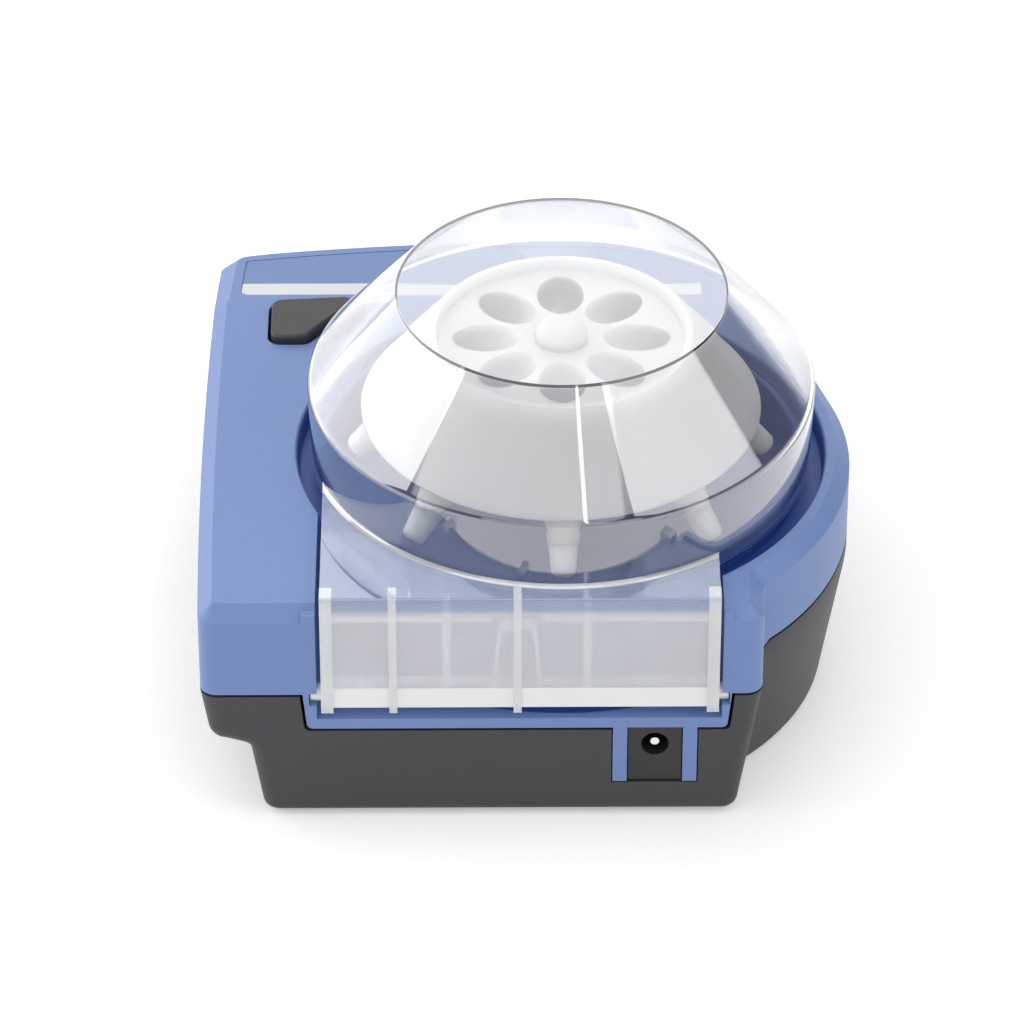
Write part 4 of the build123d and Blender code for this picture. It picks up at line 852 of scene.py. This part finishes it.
def rib_tree():
    """Geometry Nodes: a rib's side face is given its thickness and stands at an even spacing along X."""
    tree, given, result = shape_tree("spaced_ribs", "Count", "First Place", "Spacing", "Thickness")
    nodes, links = tree.nodes, tree.links
    thick = nodes.new("GeometryNodeExtrudeMesh")
    thick.inputs["Offset"].default_value = (1, 0, 0)
    thick.inputs["Individual"].default_value = False
    links.new(given.outputs["Geometry"], thick.inputs["Mesh"])
    links.new(given.outputs["Thickness"], thick.inputs["Offset Scale"])
    other_side = nodes.new("GeometryNodeFlipFaces")
    links.new(given.outputs["Geometry"], other_side.inputs["Mesh"])
    rib = nodes.new("GeometryNodeJoinGeometry")
    links.new(thick.outputs["Mesh"], rib.inputs["Geometry"])
    links.new(other_side.outputs["Mesh"], rib.inputs["Geometry"])
    row = nodes.new("GeometryNodeMeshLine")
    links.new(given.outputs["Count"], row.inputs["Count"])
    for name, socket in (("First Place", "Start Location"), ("Spacing", "Offset")):
        along = nodes.new("ShaderNodeCombineXYZ")
        links.new(given.outputs[name], along.inputs["X"])
        links.new(along.outputs[0], row.inputs[socket])
    copy_to_points(tree, given, result, row.outputs["Mesh"], rib.outputs["Geometry"])
    return tree


ribs_tree = rib_tree()


def row_of_ribs(name, outline, count, first, spacing, thickness):
    """Ribs of one kind, from the outline of their side in mm; first and spacing are of their middles."""
    side = bpy.data.meshes.new(name)
    corners = [AXIS + Vector((0, across, up)) / 1000 for across, up in outline]
    side.from_pydata(corners, [], [range(len(corners))])
    sizes = {
        "Count": count,
        "First Place": (first - thickness / 2) / 1000,
        "Spacing": spacing / 1000,
        "Thickness": thickness / 1000,
        "Material": rib_clear,
    }
    return shaped_by(ribs_tree, name, side, sizes)


edge_rib, slim_rib = 2.9, 1.9
rib_top, rib_low, rib_front, rib_back = 65.7, 32.0, 62.0, 67.1
outer_outline = rounded_outline(
    [
        (rib_front, apron_top + gap, 0),
        (65.1, apron_top + gap, 0.9),
        (plate_outside + gap, 63.4, 0.4),
        (plate_outside + gap, rib_low, 0),
        (rib_back, rib_low, 0.4),
        (rib_back, rib_top, 0.8),
        (rib_front, rib_top, 0.3),
    ]
)
inner_face, inner_reach = plate_inside - gap, 61.2
inner_outline = [
    (inner_face, apron_under - gap),
    (inner_reach, apron_under - gap),
    (inner_reach, bar_high + 2 * gap),
    (inner_face, bar_high + 2 * gap),
]
cup_middle, cup_wall, cup_foot, cup_top, cup_front = 10.95, 1.0, 38.7, 56.0, 60.8
cup_foot_half, cup_top_half, cup_clear_half = 5.9, 4.55, 6.2
cup_outline = [
    (cup_middle - cup_foot_half, cup_foot),
    (cup_middle - cup_top_half, cup_top),
    (cup_middle + cup_top_half, cup_top),
    (cup_middle + cup_foot_half, cup_foot),
    (cup_middle + cup_foot_half - cup_wall, cup_foot),
    (cup_middle + cup_top_half - cup_wall, cup_top - cup_wall),
    (cup_middle - cup_top_half + cup_wall, cup_top - cup_wall),
    (cup_middle - cup_foot_half + cup_wall, cup_foot),
]
bead_outline = [(inner_face, 58.4), (63.0, 58.3), (63.0, 57.5), (inner_face, 57.4)]
fillet_outline = [
    (seam, apron_top + gap),
    (seam + 0.9, apron_top + gap),
    (seam + 0.3, 64.75),
    (seam, 65.3),
]
space_outline = [(0, cut_low), (cut_far, cut_low), (cut_far, cut_high), (0, cut_high)]
plate_space = extruded("fillet_end", space_outline, plate_start, plate_end)
parts = [
    extruded("cup", cup_outline, inner_face, cup_front, facing="Y"),
    extruded("bead_left", bead_outline, plate_start + edge_rib, cup_middle - cup_clear_half),
    extruded("bead_right", bead_outline, cup_middle + cup_clear_half, plate_end - edge_rib),
    combined(turned("fillet_band", fillet_outline), plate_space, "INTERSECT"),
]
edge_first, edge_apart = plate_start + edge_rib / 2, plate_end - plate_start - edge_rib
middle_first, middle_apart = 10.9, 29.3
inner_first, inner_apart = -5.5, 33.1
gathered = bmesh.new()
for mesh in (
    row_of_ribs("edge_ribs", outer_outline, 2, edge_first, edge_apart, edge_rib),
    row_of_ribs("middle_ribs", outer_outline, 2, middle_first, middle_apart, slim_rib),
    row_of_ribs("inner_ribs", inner_outline, 2, inner_first, inner_apart, slim_rib),
    *[part.data for part in parts],
):
    gathered.from_mesh(mesh)
for part in parts:
    bpy.data.objects.remove(part)
lid_ribs = shaded_flat(closed_mesh("lid_ribs", gathered))
dress(lid_ribs, rib_clear, "lid_body", "clear_plastic", "lid")
